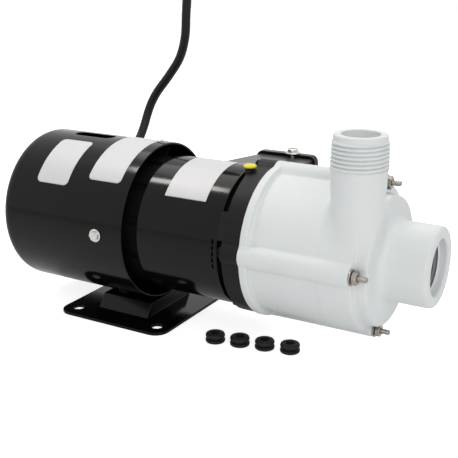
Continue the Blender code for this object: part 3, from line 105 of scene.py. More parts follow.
def mottle_and_grain():
    """One node group for every finish: colour, gloss and height that vary over a piece.

    A wide noise goes from the darker colour to the lighter one and from the smoother gloss to the
    rougher one, and a fine noise is the height of the grain.
    """
    group = bpy.data.node_groups.new("mottle_and_grain", "ShaderNodeTree")
    for name, kind in (("Place", "Vector"), ("Darker", "Color"), ("Lighter", "Color"), ("Smoother", "Float"),
                       ("Rougher", "Float"), ("Spots", "Float"), ("Grain", "Float")):
        group.interface.new_socket(name, in_out="INPUT", socket_type="NodeSocket" + kind)
    for name, kind in (("Colour", "Color"), ("Gloss", "Float"), ("Height", "Float")):
        group.interface.new_socket(name, in_out="OUTPUT", socket_type="NodeSocket" + kind)
    nodes, links = group.nodes, group.links
    taken, given = nodes.new("NodeGroupInput"), nodes.new("NodeGroupOutput")
    wide, fine = nodes.new("ShaderNodeTexNoise"), nodes.new("ShaderNodeTexNoise")
    for noise, size, detail in ((wide, "Spots", 4.0), (fine, "Grain", 3.0)):
        noise.inputs["Detail"].default_value = detail
        links.new(taken.outputs["Place"], noise.inputs["Vector"])
        links.new(taken.outputs[size], noise.inputs["Scale"])
    tint, gloss = nodes.new("ShaderNodeMix"), nodes.new("ShaderNodeMapRange")
    tint.data_type = "RGBA"
    links.new(wide.outputs["Fac"], tint.inputs[0])
    links.new(taken.outputs["Darker"], tint.inputs[6])
    links.new(taken.outputs["Lighter"], tint.inputs[7])
    links.new(tint.outputs[2], given.inputs["Colour"])
    links.new(wide.outputs["Fac"], gloss.inputs["Value"])
    links.new(taken.outputs["Smoother"], gloss.inputs["To Min"])
    links.new(taken.outputs["Rougher"], gloss.inputs["To Max"])
    links.new(gloss.outputs["Result"], given.inputs["Gloss"])
    links.new(fine.outputs["Fac"], given.inputs["Height"])
    return group


MOTTLE = mottle_and_grain()


def surface(name, colour, roughness, metallic=0.0, mottle=0.15, spots=180.0, grain=0.02, grain_size=900.0,
            spread=0.08, level=0.5):
    """A finish with the mottle and grain above, on the piece's own coordinates.

    The colour goes from (1 - mottle) to (1 + mottle) times the given one, the roughness from
    -spread to +spread round the given one, and the grain is that many thousandths of a metre high.
    """
    made = bpy.data.materials.new(name)
    made.use_nodes = True
    nodes, links = made.node_tree.nodes, made.node_tree.links
    shader = nodes["Principled BSDF"]
    shader.inputs["Metallic"].default_value = metallic
    shader.inputs["Specular IOR Level"].default_value = level
    place, varied = nodes.new("ShaderNodeTexCoord"), nodes.new("ShaderNodeGroup")
    bump = nodes.new("ShaderNodeBump")
    varied.node_tree = MOTTLE
    for socket, value in (("Darker", (*(c * (1 - mottle) for c in colour), 1)),
                          ("Lighter", (*(min(1, c * (1 + mottle)) for c in colour), 1)),
                          ("Smoother", max(0.02, roughness - spread)),
                          ("Rougher", min(1.0, roughness + spread)),
                          ("Spots", spots), ("Grain", grain_size)):
        varied.inputs[socket].default_value = value
    links.new(place.outputs["Object"], varied.inputs["Place"])
    links.new(varied.outputs["Colour"], shader.inputs["Base Color"])
    links.new(varied.outputs["Gloss"], shader.inputs["Roughness"])
    bump.inputs["Strength"].default_value = 0.6
    bump.inputs["Distance"].default_value = grain * 0.001
    links.new(varied.outputs["Height"], bump.inputs["Height"])
    links.new(bump.outputs["Normal"], shader.inputs["Normal"])
    return made


def white_for_lookers(nodes, links, plain, white):
    """Shows white to the camera, to reflections and through clear pieces, and plain to the rest."""
    path = nodes.new("ShaderNodeLightPath")
    either, any_of = nodes.new("ShaderNodeMath"), nodes.new("ShaderNodeMath")
    either.operation = any_of.operation = "MAXIMUM"
    links.new(path.outputs["Is Camera Ray"], either.inputs[0])
    links.new(path.outputs["Is Glossy Ray"], either.inputs[1])
    links.new(either.outputs[0], any_of.inputs[0])
    links.new(path.outputs["Is Transmission Ray"], any_of.inputs[1])
    mix = nodes.new("ShaderNodeMixShader")
    links.new(any_of.outputs[0], mix.inputs[0])
    links.new(plain, mix.inputs[1])
    links.new(white, mix.inputs[2])
    return mix.outputs[0]


floor_line = np.linspace(-3, 3, 5)
x, y = np.meshgrid(floor_line, floor_line, indexing="ij")
floor_grid = np.stack([x, y, np.full_like(x, -0.0002)], axis=-1)

# The sheet glows a little by itself, and more for the camera, so that it reads white round the
# pump and its shadow stays faint.
floor_sheet = surface("floor_sheet", (0.90, 0.90, 0.90), 0.9, mottle=0.01, spots=3.0)
nodes, links = floor_sheet.node_tree.nodes, floor_sheet.node_tree.links
lift, glow = nodes.new("ShaderNodeAddShader"), nodes.new("ShaderNodeEmission")
brighten, watch = nodes.new("ShaderNodeMath"), nodes.new("ShaderNodeLightPath")
brighten.operation = "MULTIPLY_ADD"
GLOW_FOR_CAMERA, GLOW = 0.55, 0.20
brighten.inputs[1].default_value = GLOW_FOR_CAMERA
brighten.inputs[2].default_value = GLOW
links.new(watch.outputs["Is Camera Ray"], brighten.inputs[0])
links.new(brighten.outputs[0], glow.inputs["Strength"])
links.new(nodes["Principled BSDF"].outputs[0], lift.inputs[0])
links.new(glow.outputs[0], lift.inputs[1])
seen = white_for_lookers(nodes, links, nodes["Principled BSDF"].outputs[0], lift.outputs[0])
links.new(seen, nodes["Material Output"].inputs["Surface"])
floor = mesh_piece("floor", [(floor_grid, False, False)], floor_sheet, body=None)

# Studio light: a wide soft box above and behind, a small one high on the left that draws the
# streak on the enamel, and a large one in front on the right that lights the white casing. They
# stand in a pale room that looks white.
room = bpy.data.worlds.new("room")
bpy.context.scene.world = room
room.use_nodes = True
nodes, links = room.node_tree.nodes, room.node_tree.links
air, paper = nodes["Background"], nodes.new("ShaderNodeBackground")
air.inputs["Color"].default_value = (0.98, 0.99, 1.0, 1)
air.inputs["Strength"].default_value = 0.42
paper.inputs["Color"].default_value = (1.0, 1.0, 1.0, 1)
paper.inputs["Strength"].default_value = 1.0
seen = white_for_lookers(nodes, links, air.outputs[0], paper.outputs[0])
links.new(seen, nodes["World Output"].inputs["Surface"])
for name, place, aim, size, power in (
        ("soft_box_top", (-0.05, 0.35, 0.88), (0.06, 0.0, 0.06), (1.0, 0.6), 3.4),
        ("soft_box_left", (-0.445, -0.065, 0.90), (0.05, 0.0, 0.09), (0.12, 0.155), 1.5),
        ("soft_box_front", (0.80, -0.85, 0.70), (0.10, 0.0, 0.07), (1.5, 1.2), 6.0)):
    lamp = bpy.data.objects.new(name, bpy.data.lights.new(name, "AREA"))
    bpy.context.collection.objects.link(lamp)
    lamp.data.shape = "RECTANGLE"
    lamp.data.size, lamp.data.size_y = size
    lamp.data.energy = power
    lamp.data.color = (1.0, 0.97, 0.94)
    lamp_turn = (Vector(place) - Vector(aim)).to_track_quat("Z", "Y").to_matrix().to_4x4()
    lamp.matrix_world = Matrix.Translation(place) @ lamp_turn

# Strain relief: a tapered bushing of black rubber that holds the lead in the shroud's wall. Its
# ribs let it bend with the lead.
SHAFT_HEIGHT = 0.064
SHROUD_RADIUS = 0.0527
RELIEF_LEAN = math.radians(62.0)
RELIEF_AXIS = np.array((0.0, math.sin(RELIEF_LEAN), math.cos(RELIEF_LEAN)))
RELIEF_FOOT = np.array((-0.0505, 0.0, SHAFT_HEIGHT))


def rounded_line(corners, trims, steps=5):
    """A line through corners, each replaced by the curve (1 - t)^2 p + 2 t (1 - t) c + t^2 q.

    p and q lie on the two sides at the corner's trim from c. The ends stay as they are. The
    corners may carry further axes in front, so that each angle has its own outline.
    """
    corners = np.asarray(corners, dtype=float)
    trimmed = corners.shape[:-2] + (corners.shape[-2] - 2,)
    trims = np.broadcast_to(np.asarray(trims, dtype=float), trimmed)[..., None]
    middle, before, after = corners[..., 1:-1, :], corners[..., :-2, :], corners[..., 2:, :]
    to_before, to_after = before - middle, after - middle
    size_before = np.linalg.norm(to_before, axis=-1, keepdims=True)
    size_after = np.linalg.norm(to_after, axis=-1, keepdims=True)
    p = middle + to_before * np.minimum(trims / np.maximum(size_before, 1e-9), 0.48)
    q = middle + to_after * np.minimum(trims / np.maximum(size_after, 1e-9), 0.48)
    t = np.linspace(0, 1, steps)[:, None]
    p, middle, q = p[..., None, :], middle[..., None, :], q[..., None, :]
    arcs = (1 - t) ** 2 * p + 2 * t * (1 - t) * middle + t ** 2 * q
    arcs = arcs.reshape(corners.shape[:-2] + (-1, corners.shape[-1]))
    return np.concatenate([corners[..., :1, :], arcs, corners[..., -1:, :]], axis=-2)


def held(line, margin=0.0004):
    """The line with two more points on each long span, a margin from its ends.

    They keep the shading of the span straight, so that it bends only at the rounded corners.
    """
    first = line.reshape(-1, *line.shape[-2:])[0]
    spans = np.linalg.norm(np.diff(first, axis=0), axis=-1)
    near = [(k + margin / span, k + 1 - margin / span) for k, span in enumerate(spans) if span > 4 * margin]
    place = np.sort(np.concatenate([np.arange(len(spans) + 1.0), np.ravel(near)]))
    before = np.minimum(place.astype(int), len(spans) - 1)
    share = (place - before)[:, None]
    return line[..., before, :] * (1 - share) + line[..., before + 1, :] * share


def lathe(outline, start, along, sides, radius_of=None):
    """A grid turned about an axis from an outline of (d, r).

    A point is start + d along + r (cos a u + sin a v), with u and v square to the axis. With
    radius_of, r is replaced by radius_of(a, d, r).
    """
    outline = held(outline)
    along = np.asarray(along, dtype=float) / np.linalg.norm(along)
    helper = np.array((0.0, 0.0, 1.0)) if abs(along[2]) < 0.9 else np.array((1.0, 0.0, 0.0))
    u = np.cross(helper, along)
    u /= np.linalg.norm(u)
    v = np.cross(along, u)
    angle = np.linspace(0, 2 * np.pi, sides, endpoint=False)[:, None]
    d, r = outline[None, :, 0], outline[None, :, 1]
    if radius_of is not None:
        r = radius_of(angle, d, r)
    wheel = np.cos(angle)[..., None] * u + np.sin(angle)[..., None] * v
    grid = np.asarray(start) + d[..., None] * along + (r * np.ones_like(angle))[..., None] * wheel
    return grid, True, False


RIBS_BEGIN, RIBS_END, RIB_PITCH, RIB_DEPTH = 0.0565, 0.0715, 0.0025, 0.00035


def ribbed(angle, d, r):
    """Rings round the bushing: r less the depth times (1 + sin(2 pi d / pitch)) / 2."""
    wave = 0.5 + 0.5 * np.sin((d - RIBS_BEGIN) * 2 * np.pi / RIB_PITCH)
    return r - RIB_DEPTH * (d > RIBS_BEGIN) * (d < RIBS_END) * wave


relief_rubber = surface("relief_rubber", (0.008, 0.008, 0.0085), 0.55, mottle=0.3, spots=300, grain=0.05)
taper = rounded_line([(0.0473, 0), (0.0473, 0.0065), (0.0496, 0.0065), (0.0497, 0.0055),
                      (SHROUD_RADIUS, 0.0055), (0.0528, 0.0067), (0.0550, 0.0065), (0.0552, 0.0058),
                      (0.0727, 0.0045), (0.0727, 0)], 0.0004)
share, place = np.linspace(0, 1, 140), np.linspace(0, 1, len(taper))
dense = np.stack([np.interp(share, place, taper[:, k]) for k in (0, 1)], axis=-1)
relief = mesh_piece("lead_bushing", [lathe(dense, RELIEF_FOOT, RELIEF_AXIS, 40, ribbed)], relief_rubber)
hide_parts("strain_relief")

# Mains lead: a round three-core lead in a matt black jacket. It leaves its bushing behind the
# shroud, rises in an S and ends above the view, short of its moulded plug, which is not drawn.
LEAD_RADIUS = 0.0033
lead_exit = RELIEF_FOOT + RELIEF_AXIS * 0.0730
lead_route = np.array([lead_exit, lead_exit + RELIEF_AXIS * 0.0033,
                       (-0.0506, 0.0713, 0.1038), (-0.0505, 0.0756, 0.1101), (-0.0499, 0.0787, 0.1171),
                       (-0.0483, 0.0808, 0.1240), (-0.0455, 0.0822, 0.1306), (-0.0413, 0.0832, 0.1371),
                       (-0.0321, 0.0848, 0.1489), (-0.0234, 0.0858, 0.1621), (-0.0181, 0.0849, 0.1773),
                       (-0.0160, 0.0835, 0.1933), (-0.0149, 0.0831, 0.2043), (-0.0149, 0.0830, 0.2111)])


def smooth_line(route, count):
    """Points at an even spacing on a smooth curve through the route, and the curve's length.

    From b to c, with a before them and d after them, the curve is half of
    2b + (c - a) t + (2a - 5b + 4c - d) t^2 + (3b - a - 3c + d) t^3.
    """
    ends = np.vstack([route[:1], route, route[-1:]])
    a, b, c, d = ends[:-3, None], ends[1:-2, None], ends[2:-1, None], ends[3:, None]
    t = np.linspace(0, 1, 16, endpoint=False)[None, :, None]
    fine = 0.5 * (2 * b + (c - a) * t + (2 * a - 5 * b + 4 * c - d) * t ** 2
                  + (3 * b - a - 3 * c + d) * t ** 3)
    fine = np.vstack([fine.reshape(-1, 3), route[-1:]])
    run = np.concatenate([[0], np.cumsum(np.linalg.norm(np.diff(fine, axis=0), axis=1))])
    even = np.linspace(0, run[-1], count)
    return np.stack([np.interp(even, run, fine[:, k]) for k in range(3)], axis=-1), run[-1]


lead_line, lead_length = smooth_line(lead_route, 36)
curve = bpy.data.curves.new("mains_lead", "CURVE")
curve.dimensions = "3D"
curve.bevel_depth = LEAD_RADIUS
curve.bevel_resolution = 8
curve.use_fill_caps = True
spline = curve.splines.new("POLY")
spline.points.add(len(lead_line) - 1)
spline.points.foreach_set("co", np.hstack([lead_line, np.ones((len(lead_line), 1))]).ravel())
spline.use_smooth = True
lead_jacket = surface("lead_jacket", (0.007, 0.007, 0.0075), 0.45, mottle=0.3, spots=260, grain=0.03,
                      grain_size=1500, level=0.25)
curve.materials.append(lead_jacket)
lead = bpy.data.objects.new("mains_lead", curve)
bpy.context.collection.objects.link(lead)
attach(lead, "pump_body")
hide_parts("power_cord")

# Base plate: pressed from sheet steel with round corners and enamelled black. A low pedestal is
# welded on it for the motor's feet, and four holes take the mounting bolts in their grommets.
black_enamel = surface("black_enamel", (0.0035, 0.0035, 0.0035), 0.13, mottle=0.25, spots=60, grain=0.012,
                       grain_size=420, spread=0.03, level=0.19)


def soft_copy(node, name, finish, width, segments=3, body="pump_body"):
    """A CAD node's own solid with its doubles merged and its edges rounded by a small bevel."""
    work = bmesh.new()
    work.from_mesh(bpy.data.objects[node].data)
    bmesh.ops.remove_doubles(work, verts=work.verts, dist=1e-6)
    bmesh.ops.dissolve_limit(work, angle_limit=math.radians(1.0), verts=work.verts, edges=work.edges)
    mesh = bpy.data.meshes.new(name)
    work.to_mesh(mesh)
    work.free()
    mesh.shade_smooth()
    mesh.set_sharp_from_angle(angle=math.radians(40))
    mesh.materials.clear()
    mesh.materials.append(finish)
    piece = bpy.data.objects.new(name, mesh)
    bpy.context.collection.objects.link(piece)
    edge = piece.modifiers.new("edge", "BEVEL")
    edge.width = width
    edge.segments = segments
    edge.limit_method = "ANGLE"
    edge.angle_limit = math.radians(35)
    edge.harden_normals = True
    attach(piece, body)
    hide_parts(node)
    return piece


base = soft_copy("base_plate", "base", black_enamel, 0.0006)

# Fan shroud: a drawn steel can over the fan, enamelled gloss black, with a rounded rear edge, a
# long slot on top, eight slots in its rear face, and a thin rolled front rim.
SHAFT = (0.0, 0.0, SHAFT_HEIGHT)
can = rounded_line([(-0.0807, 0.0), (-0.0807, SHROUD_RADIUS), (0.0201, SHROUD_RADIUS), (0.0201, 0.0515),
                    (-0.0795, 0.0515), (-0.0795, 0.0)], [0.0078, 0.0004, 0.0004, 0.0066], 9)
shroud = mesh_piece("shroud", [lathe(can, SHAFT, (1, 0, 0), 192)], black_enamel)


def round_slot(name, length, width, depth, matrix):
    """A prism whose outline is a rectangle with half-round ends, to cut a slot."""
    angle = np.concatenate([np.linspace(-np.pi / 2, np.pi / 2, 13),
                            np.linspace(np.pi / 2, 3 * np.pi / 2, 13)])
    side = np.concatenate([np.full(13, 1.0), np.full(13, -1.0)])
    flat = np.stack([side * (length - width) / 2 + np.cos(angle) * width / 2,
                     np.sin(angle) * width / 2], axis=-1)
    mesh = bpy.data.meshes.new(name)
    count = len(flat)
    points = np.vstack([np.column_stack([flat, np.full(count, level)]) for level in (-depth, depth)])
    faces = [tuple(range(count - 1, -1, -1)), tuple(range(count, 2 * count))]
    faces += [(k, (k + 1) % count, count + (k + 1) % count, count + k) for k in range(count)]
    mesh.from_pydata(points, [], faces)
    mesh.transform(matrix)
    tool = bpy.data.objects.new(name, mesh)
    bpy.context.collection.objects.link(tool)
    return tool


def worked(piece, steps, finishes, sharp):
    """Joins tools to a piece or cuts them out of it, in turn and for good, and removes them.

    The steps are pairs of UNION or DIFFERENCE and a tool. The mesh keeps the given finishes only.
    """
    for operation, tool in steps:
        step = piece.modifiers.new("step", "BOOLEAN")
        step.operation = operation
        step.solver = "EXACT"
        step.object = tool
    bpy.context.view_layer.update()
    shape = bpy.data.meshes.new_from_object(piece.evaluated_get(bpy.context.evaluated_depsgraph_get()))
    piece.modifiers.clear()
    piece.data = shape
    for _, tool in steps:
        bpy.data.objects.remove(tool)
    shape.materials.clear()
    for finish in finishes:
        shape.materials.append(finish)
    shape.shade_smooth()
    shape.set_sharp_from_angle(angle=math.radians(sharp))
    return shape


def take_out(piece, tools):
    """Cuts the tools out of a piece that has one finish."""
    worked(piece, [("DIFFERENCE", tool) for tool in tools], [piece.data.materials[0]], 35)


INTAKES = 8
REAR_FACE = Matrix.Translation((-0.0802, 0, SHAFT_HEIGHT))
TO_REAR_FACE = Matrix(((0, 0, 1, 0), (1, 0, 0, 0), (0, 1, 0, 0), (0, 0, 0, 1)))
holes = [round_slot("slot", 0.032, 0.010, 0.006, Matrix.Translation((-0.038, 0, 0.1162)))]
for k in range(INTAKES):
    spoke = Matrix.Rotation(2 * math.pi * (k + 0.5) / INTAKES, 4, "X")
    holes.append(round_slot("intake", 0.022, 0.006, 0.005,
                            REAR_FACE @ spoke @ Matrix.Translation((0, 0.027, 0)) @ TO_REAR_FACE))
lead_way = Matrix.Translation(RELIEF_FOOT + RELIEF_AXIS * 0.052) @ Matrix.Rotation(-RELIEF_LEAN, 4, "X")
holes.append(round_slot("lead_way", 0.0118, 0.0117, 0.006, lead_way))
take_out(shroud, holes)
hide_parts("fan_shroud")

# Shroud screws: slotted hexagon heads pressed with a washer face, zinc plated, three round the
# shroud in line with the rear bell's lugs.
zinc_plate = surface("zinc_plate", (0.62, 0.62, 0.60), 0.26, metallic=1.0, mottle=0.12, spots=900, grain=0.02)


def hex_lathe(outline, flats, start, along, begin, end, sides=72, turned_by=0.0):
    """A turned piece whose stretch between begin and end is a hexagon: the radius there is at most
    half the flats over the cosine of the angle to the middle of the nearest flat."""
    def radius(angle, d, r):
        near = np.mod(angle + turned_by + np.pi / 6, np.pi / 3) - np.pi / 6
        return np.where((d >= begin) & (d <= end), np.minimum(r, flats / 2 / np.cos(near)), r)
    return lathe(outline, start, along, sides, radius)


screw_line = rounded_line([(0.0400, 0), (0.0400, 0.0016), (0.0530, 0.0016), (0.0530, 0.0043),
                           (0.0536, 0.0043), (0.0537, 0.0034), (0.0552, 0.0033), (0.0553, 0.0027),
                           (0.0549, 0.0022), (0.0549, 0)], 0.0002, 4)
for number, degrees in enumerate((89.0, 209.0, 329.0), 1):
    lean = math.radians(degrees)
    out = np.array((0, -math.sin(lean), math.cos(lean)))
    screw = mesh_piece(f"shroud_screw_head_{number}",
                       [hex_lathe(screw_line, 0.0062, SHAFT, out, 0.05365, 0.0560)], zinc_plate, sharp=22)
    slot_place = (Matrix.Translation(SHAFT) @ Matrix.Rotation(lean, 4, "X")
                  @ Matrix.Translation((0, 0, 0.0555)) @ Matrix.Rotation(0.6, 4, "Z"))
    take_out(screw, [round_slot("slot", 0.0080, 0.0013, 0.0016, slot_place)])
    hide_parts(f"shroud_screw_{number}")

# Motor shell: a tube drawn from steel sheet between shroud and adapter, in the same gloss black
# enamel. Five short crimps are pressed into its front end, beside the adapter's near tab.
SHELL_RADIUS = 0.0449
barrel = rounded_line([(0.0260, 0.0434), (0.0260, SHELL_RADIUS), (0.0850, SHELL_RADIUS), (0.0850, 0.0434)],
                      0.0004, 5)
barrel = np.vstack([barrel, barrel[:1]])
shell = mesh_piece("shell", [lathe(barrel, SHAFT, (1, 0, 0), 192)], black_enamel)
crimps = []
for degrees in range(80, 101, 5):
    crimp_place = (Matrix.Translation(SHAFT) @ Matrix.Rotation(math.radians(degrees), 4, "X")
                   @ Matrix.Translation((0.0818, 0, 0.0442)) @ Matrix.Rotation(math.pi / 2, 4, "Z"))
    crimps.append(round_slot("crimp", 0.0032, 0.0012, 0.004, crimp_place))
take_out(shell, crimps)
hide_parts("motor_shell")

# Labels: three bare sheets of white film with their corners cut round. They are stuck on the
# enamel, two on the shroud and one on the shell.
label_film = surface("label_film", (0.73, 0.73, 0.74), 0.42, mottle=0.02, spots=90, grain=0.01)


def label(name, radius, low, high, first, last, corner):
    """A film bent round the shaft: x runs between low and high, the angle between first and last.

    Near the two x ends the angle's span shrinks by corner - sqrt(corner^2 - (corner - e)^2), with e
    the distance to the end, which rounds the corners.
    """
    t = np.linspace(0, 1, 49)
    x = low + (high - low) * (0.5 - 0.5 * np.cos(np.pi * t))
    e = np.minimum(np.minimum(x - low, high - x), corner)
    inset = corner - np.sqrt(np.maximum(corner ** 2 - (corner - e) ** 2, 0))
    begin, end = np.radians(first) + inset / radius, np.radians(last) - inset / radius
    s = np.linspace(0, 1, 41)[:, None]
    angle = begin + (end - begin) * s
    wide = x[None, :] + 0 * angle
    r = radius + 0.0002
    sheet = np.stack([wide, -r * np.sin(angle), SHAFT_HEIGHT + r * np.cos(angle)], axis=-1)
    film = mesh_piece(name, [(sheet, False, False)], label_film)
    thick = film.modifiers.new("film", "SOLIDIFY")
    thick.thickness = 0.00012
    thick.offset = -1


label("label_rear", SHROUD_RADIUS, -0.0538, -0.0280, 15.6, 58.0, 0.0035)
label("label_front", SHROUD_RADIUS, -0.0134, 0.0120, -14.0, 50.5, 0.0030)
label("label_shell", SHELL_RADIUS, 0.0418, 0.0715, -8.0, 50.4, 0.0004)

# Adapter: a die-cast ring in dark paint between the motor and the pump head. Four tabs reach back
# to the shell and leave arched gaps, and four lobes carry the casing bolts.
adapter_paint = surface("adapter_paint", (0.0055, 0.0056, 0.0058), 0.45, mottle=0.25, spots=120, grain=0.05,
                        grain_size=700, level=0.19)
adapter = soft_copy("adapter_bracket", "adapter", adapter_paint, 0.0004, 2)

# Oil cap: a small flat button moulded in yellow plastic on a short stem. It is pushed down into
# its upright port on the adapter and pulls straight out.
cap_yellow = surface("cap_yellow", (0.84, 0.72, 0.02), 0.38, mottle=0.08, spots=400, grain=0.02)
OIL_FOOT = (0.0895, -0.01192, 0.1113)
button = rounded_line([(-0.0055, 0), (-0.0055, 0.0012), (0.0, 0.0012), (0.0, 0.0027), (0.0006, 0.0041),
                       (0.0016, 0.0041), (0.0022, 0.0031), (0.0023, 0)], 0.0003, 4)
cap = mesh_piece("oil_button", [lathe(button, OIL_FOOT, (0, 0, 1), 64)], cap_yellow, body="oil_cap")
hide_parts("oil_cap")

# Pump head: an injection-moulded casing in white polypropylene with a flange, four half-round
# bolt bosses, a volute nose that grows toward the outlet, and the wide inlet with its pipe thread.
pump_white = surface("pump_white", (0.80, 0.835, 0.84), 0.50, mottle=0.03, spots=45, grain=0.012,
                     grain_size=500, spread=0.05)
white_shader = pump_white.node_tree.nodes["Principled BSDF"]
white_shader.inputs["Specular IOR Level"].default_value = 0.3
white_shader.inputs["Subsurface Weight"].default_value = 0.05
white_shader.inputs["Subsurface Radius"].default_value = (0.006, 0.006, 0.006)
white_shader.inputs["Subsurface Scale"].default_value = 0.5
# Painted shade: the deep bore of the inlet is drawn in a grey plastic for the shade inside it.
bore_painted_shade = surface("bore_painted_shade", (0.30, 0.32, 0.33), 0.50, mottle=0.05, spots=45, grain=0.012,
                     grain_size=500)
BOSS_TURNS = np.radians((-3.0, 87.0, 177.0, 267.0))
BOSS_CIRCLE, BOLT_CIRCLE = 0.0431, 0.0458
THREAD_PITCH = 0.00231


def soft_most(a, b, reach):
    """The greater of two values with a round hollow of the given reach where they are close:
    max(a, b) + max(reach - |a - b|, 0)^2 / (4 reach)."""
    return np.maximum(a, b) + np.maximum(reach - np.abs(a - b), 0) ** 2 / (4 * reach)


def pin_reach(turn, circle, radius, far=True):
    """Distance from the shaft at which a ray at an angle meets a round pin centred on a circle: the
    pin's far side, or its near side. Rays that miss the pin give a very small or large distance."""
    near = np.mod(turn - BOSS_TURNS[0] + np.pi / 4, np.pi / 2) - np.pi / 4
    inside = radius ** 2 - (circle * np.sin(near)) ** 2
    root = np.sqrt(np.maximum(inside, 0))
    if far:
        missed = circle * np.cos(near) - 0.02 * (1 - inside / radius ** 2)
        return np.where(inside > 0, circle * np.cos(near) + root, missed)
    return np.where(inside > 0, circle * np.cos(near) - root, circle)


def thread_wave(turns):
    """A moulded pipe thread over its turns: 1 - exp(-(v / 0.36)^2), with v the share of the way from
    the root to the crest. The crests are broad and round, and the roots narrow."""
    v = 1 - np.abs(np.mod(turns, 1.0) * 2 - 1)
    return 1 - np.exp(-(v / 0.36) ** 2)


OUTLET_X, OUTLET_Y, OUTLET_RADIUS = 0.1660, -0.0270, 0.0156
OUTLET_FOOT, OUTLET_NECK, FOOT_RADIUS = 0.0700, 0.1140, 0.0133


def swelled(points, reach, most):
    """The grid moved to where it meets the outlet's foot in a hollow curve.

    With a the height above the grid and b the distance from the outlet's side, the new surface lies
    where the lesser of a and b, less max(reach - |a - b|, 0)^2 / (4 reach), is 0. Halving finds a. It
    is taken away from the shaft, and leans forward by up to 55 degrees toward the nose.
    """
    away = points * (0, 1, 1) - SHAFT
    away /= np.maximum(np.linalg.norm(away, axis=-1, keepdims=True), 1e-9)
    lean = np.radians(55.0) * np.clip((points[..., :1] - OUTLET_X) / 0.013, 0, 1)
    away = away * np.cos(lean) + np.array((1.0, 0, 0)) * np.sin(lean)
    low, high = np.zeros(points.shape[:2]), np.full(points.shape[:2], most)
    for _ in range(24):
        a = (low + high) / 2
        spot = points + a[..., None] * away
        side = np.interp(spot[..., 2], [OUTLET_FOOT, OUTLET_NECK], [FOOT_RADIUS, OUTLET_RADIUS]) - 0.00015
        b = np.hypot(spot[..., 0] - OUTLET_X, spot[..., 1] - OUTLET_Y) - side
        short = np.minimum(a, b) - np.maximum(reach - np.abs(a - b), 0) ** 2 / (4 * reach) < 0
        low, high = np.where(short, a, low), np.where(short, high, a)
    return points + (low * np.clip((spot[..., 2] - OUTLET_FOOT) / 0.016, 0, 1))[..., None] * away


# The angles crowd together round 40 degrees, on the side of the outlet's foot. The nose grows over
# 86 % of a turn and falls back over the rest.
sides = 288
turn = np.linspace(0, 2 * np.pi, sides, endpoint=False)
turn = turn - 0.35 * np.sin(turn - np.radians(40.0))
flange = soft_most(np.full(sides, 0.0480), pin_reach(turn, BOSS_CIRCLE, 0.0072), 0.0016)
hull = soft_most(np.full(sides, 0.0444), pin_reach(turn, BOSS_CIRCLE, 0.0071), 0.0018)
hull_wide = soft_most(np.full(sides, 0.0449), pin_reach(turn, BOSS_CIRCLE, 0.0071), 0.0018)
growth = np.mod(-np.degrees(turn) - 20.0, 360.0) / 360.0
growth = np.where(growth < 0.86, growth, 0.86 * (1 - growth) / 0.14) * 0.0050
nose = 0.0382 + growth
nose = -soft_most(-nose, -pin_reach(turn, BOLT_CIRCLE, 0.0053, far=False), 0.0012)
boss_share = np.clip((hull - 0.0450) / 0.0030, 0, 1)
one = np.ones(sides)
FLANGE_BACK, FLANGE_FRONT, BOSS_FACE, NOSE_FACE, INLET_END = 0.1013, 0.1063, 0.1710, 0.1790, 0.2076
NECK_RADIUS, COUNTERBORE_RADIUS, THREAD_RADIUS = 0.0243, 0.0169, 0.0151
LEDGE, THREAD_END = 0.2018, 0.1886
corners = [(FLANGE_BACK, 0.0399 * one), (FLANGE_BACK, flange), (FLANGE_FRONT, flange), (FLANGE_FRONT, hull),
           (0.1420, hull), (0.1490, hull), (0.1512, hull_wide), (BOSS_FACE, hull_wide), (BOSS_FACE, nose),
           (NOSE_FACE, nose - 0.0002), (NOSE_FACE, NECK_RADIUS * one), (INLET_END, NECK_RADIUS * one),
           (INLET_END, 0.0179 * one), (0.2064, COUNTERBORE_RADIUS * one), (LEDGE, COUNTERBORE_RADIUS * one),
           (LEDGE, THREAD_RADIUS * one)]
corners = np.stack([np.stack([x * one, r], axis=-1) for x, r in corners], axis=1)
trims = np.stack([0.0009 * one, 0.0010 * one, 0.0012 * one, 0.0001 * one, 0.0020 * one, 0.0008 * one,
                  0.0034 - 0.0022 * boss_share, 0.0013 * one, 0.0026 * one, 0.0062 * one, 0.0034 * one,
                  0.0015 * one, 0.0006 * one, 0.0004 * one], axis=-1)
outside = held(rounded_line(corners, trims, 6))

# Rows lie 0.8 mm apart where the outlet's foot swells the wall, and up to 12 mm apart elsewhere.
spans = np.linalg.norm(np.diff(outside[0], axis=0), axis=-1)
fine = (outside[0, 1:, 0] > 0.142) & (outside[0, 1:, 0] < 0.1815)
parts = np.ceil(spans / np.where(fine, 0.0008, 0.012)).astype(int)
place = np.concatenate([k + np.arange(n) / n for k, n in enumerate(parts)])
before, share = place.astype(int), (place % 1)[:, None]
outside = np.concatenate([outside[:, before] * (1 - share) + outside[:, before + 1] * share,
                          outside[:, -1:]], axis=1)


def bent_round(loop):
    """Points of the space from (x, distance from the shaft) at every angle."""
    return np.stack([loop[..., 0], -loop[..., 1] * np.sin(turn)[:, None],
                     SHAFT_HEIGHT + loop[..., 1] * np.cos(turn)[:, None]], axis=-1)


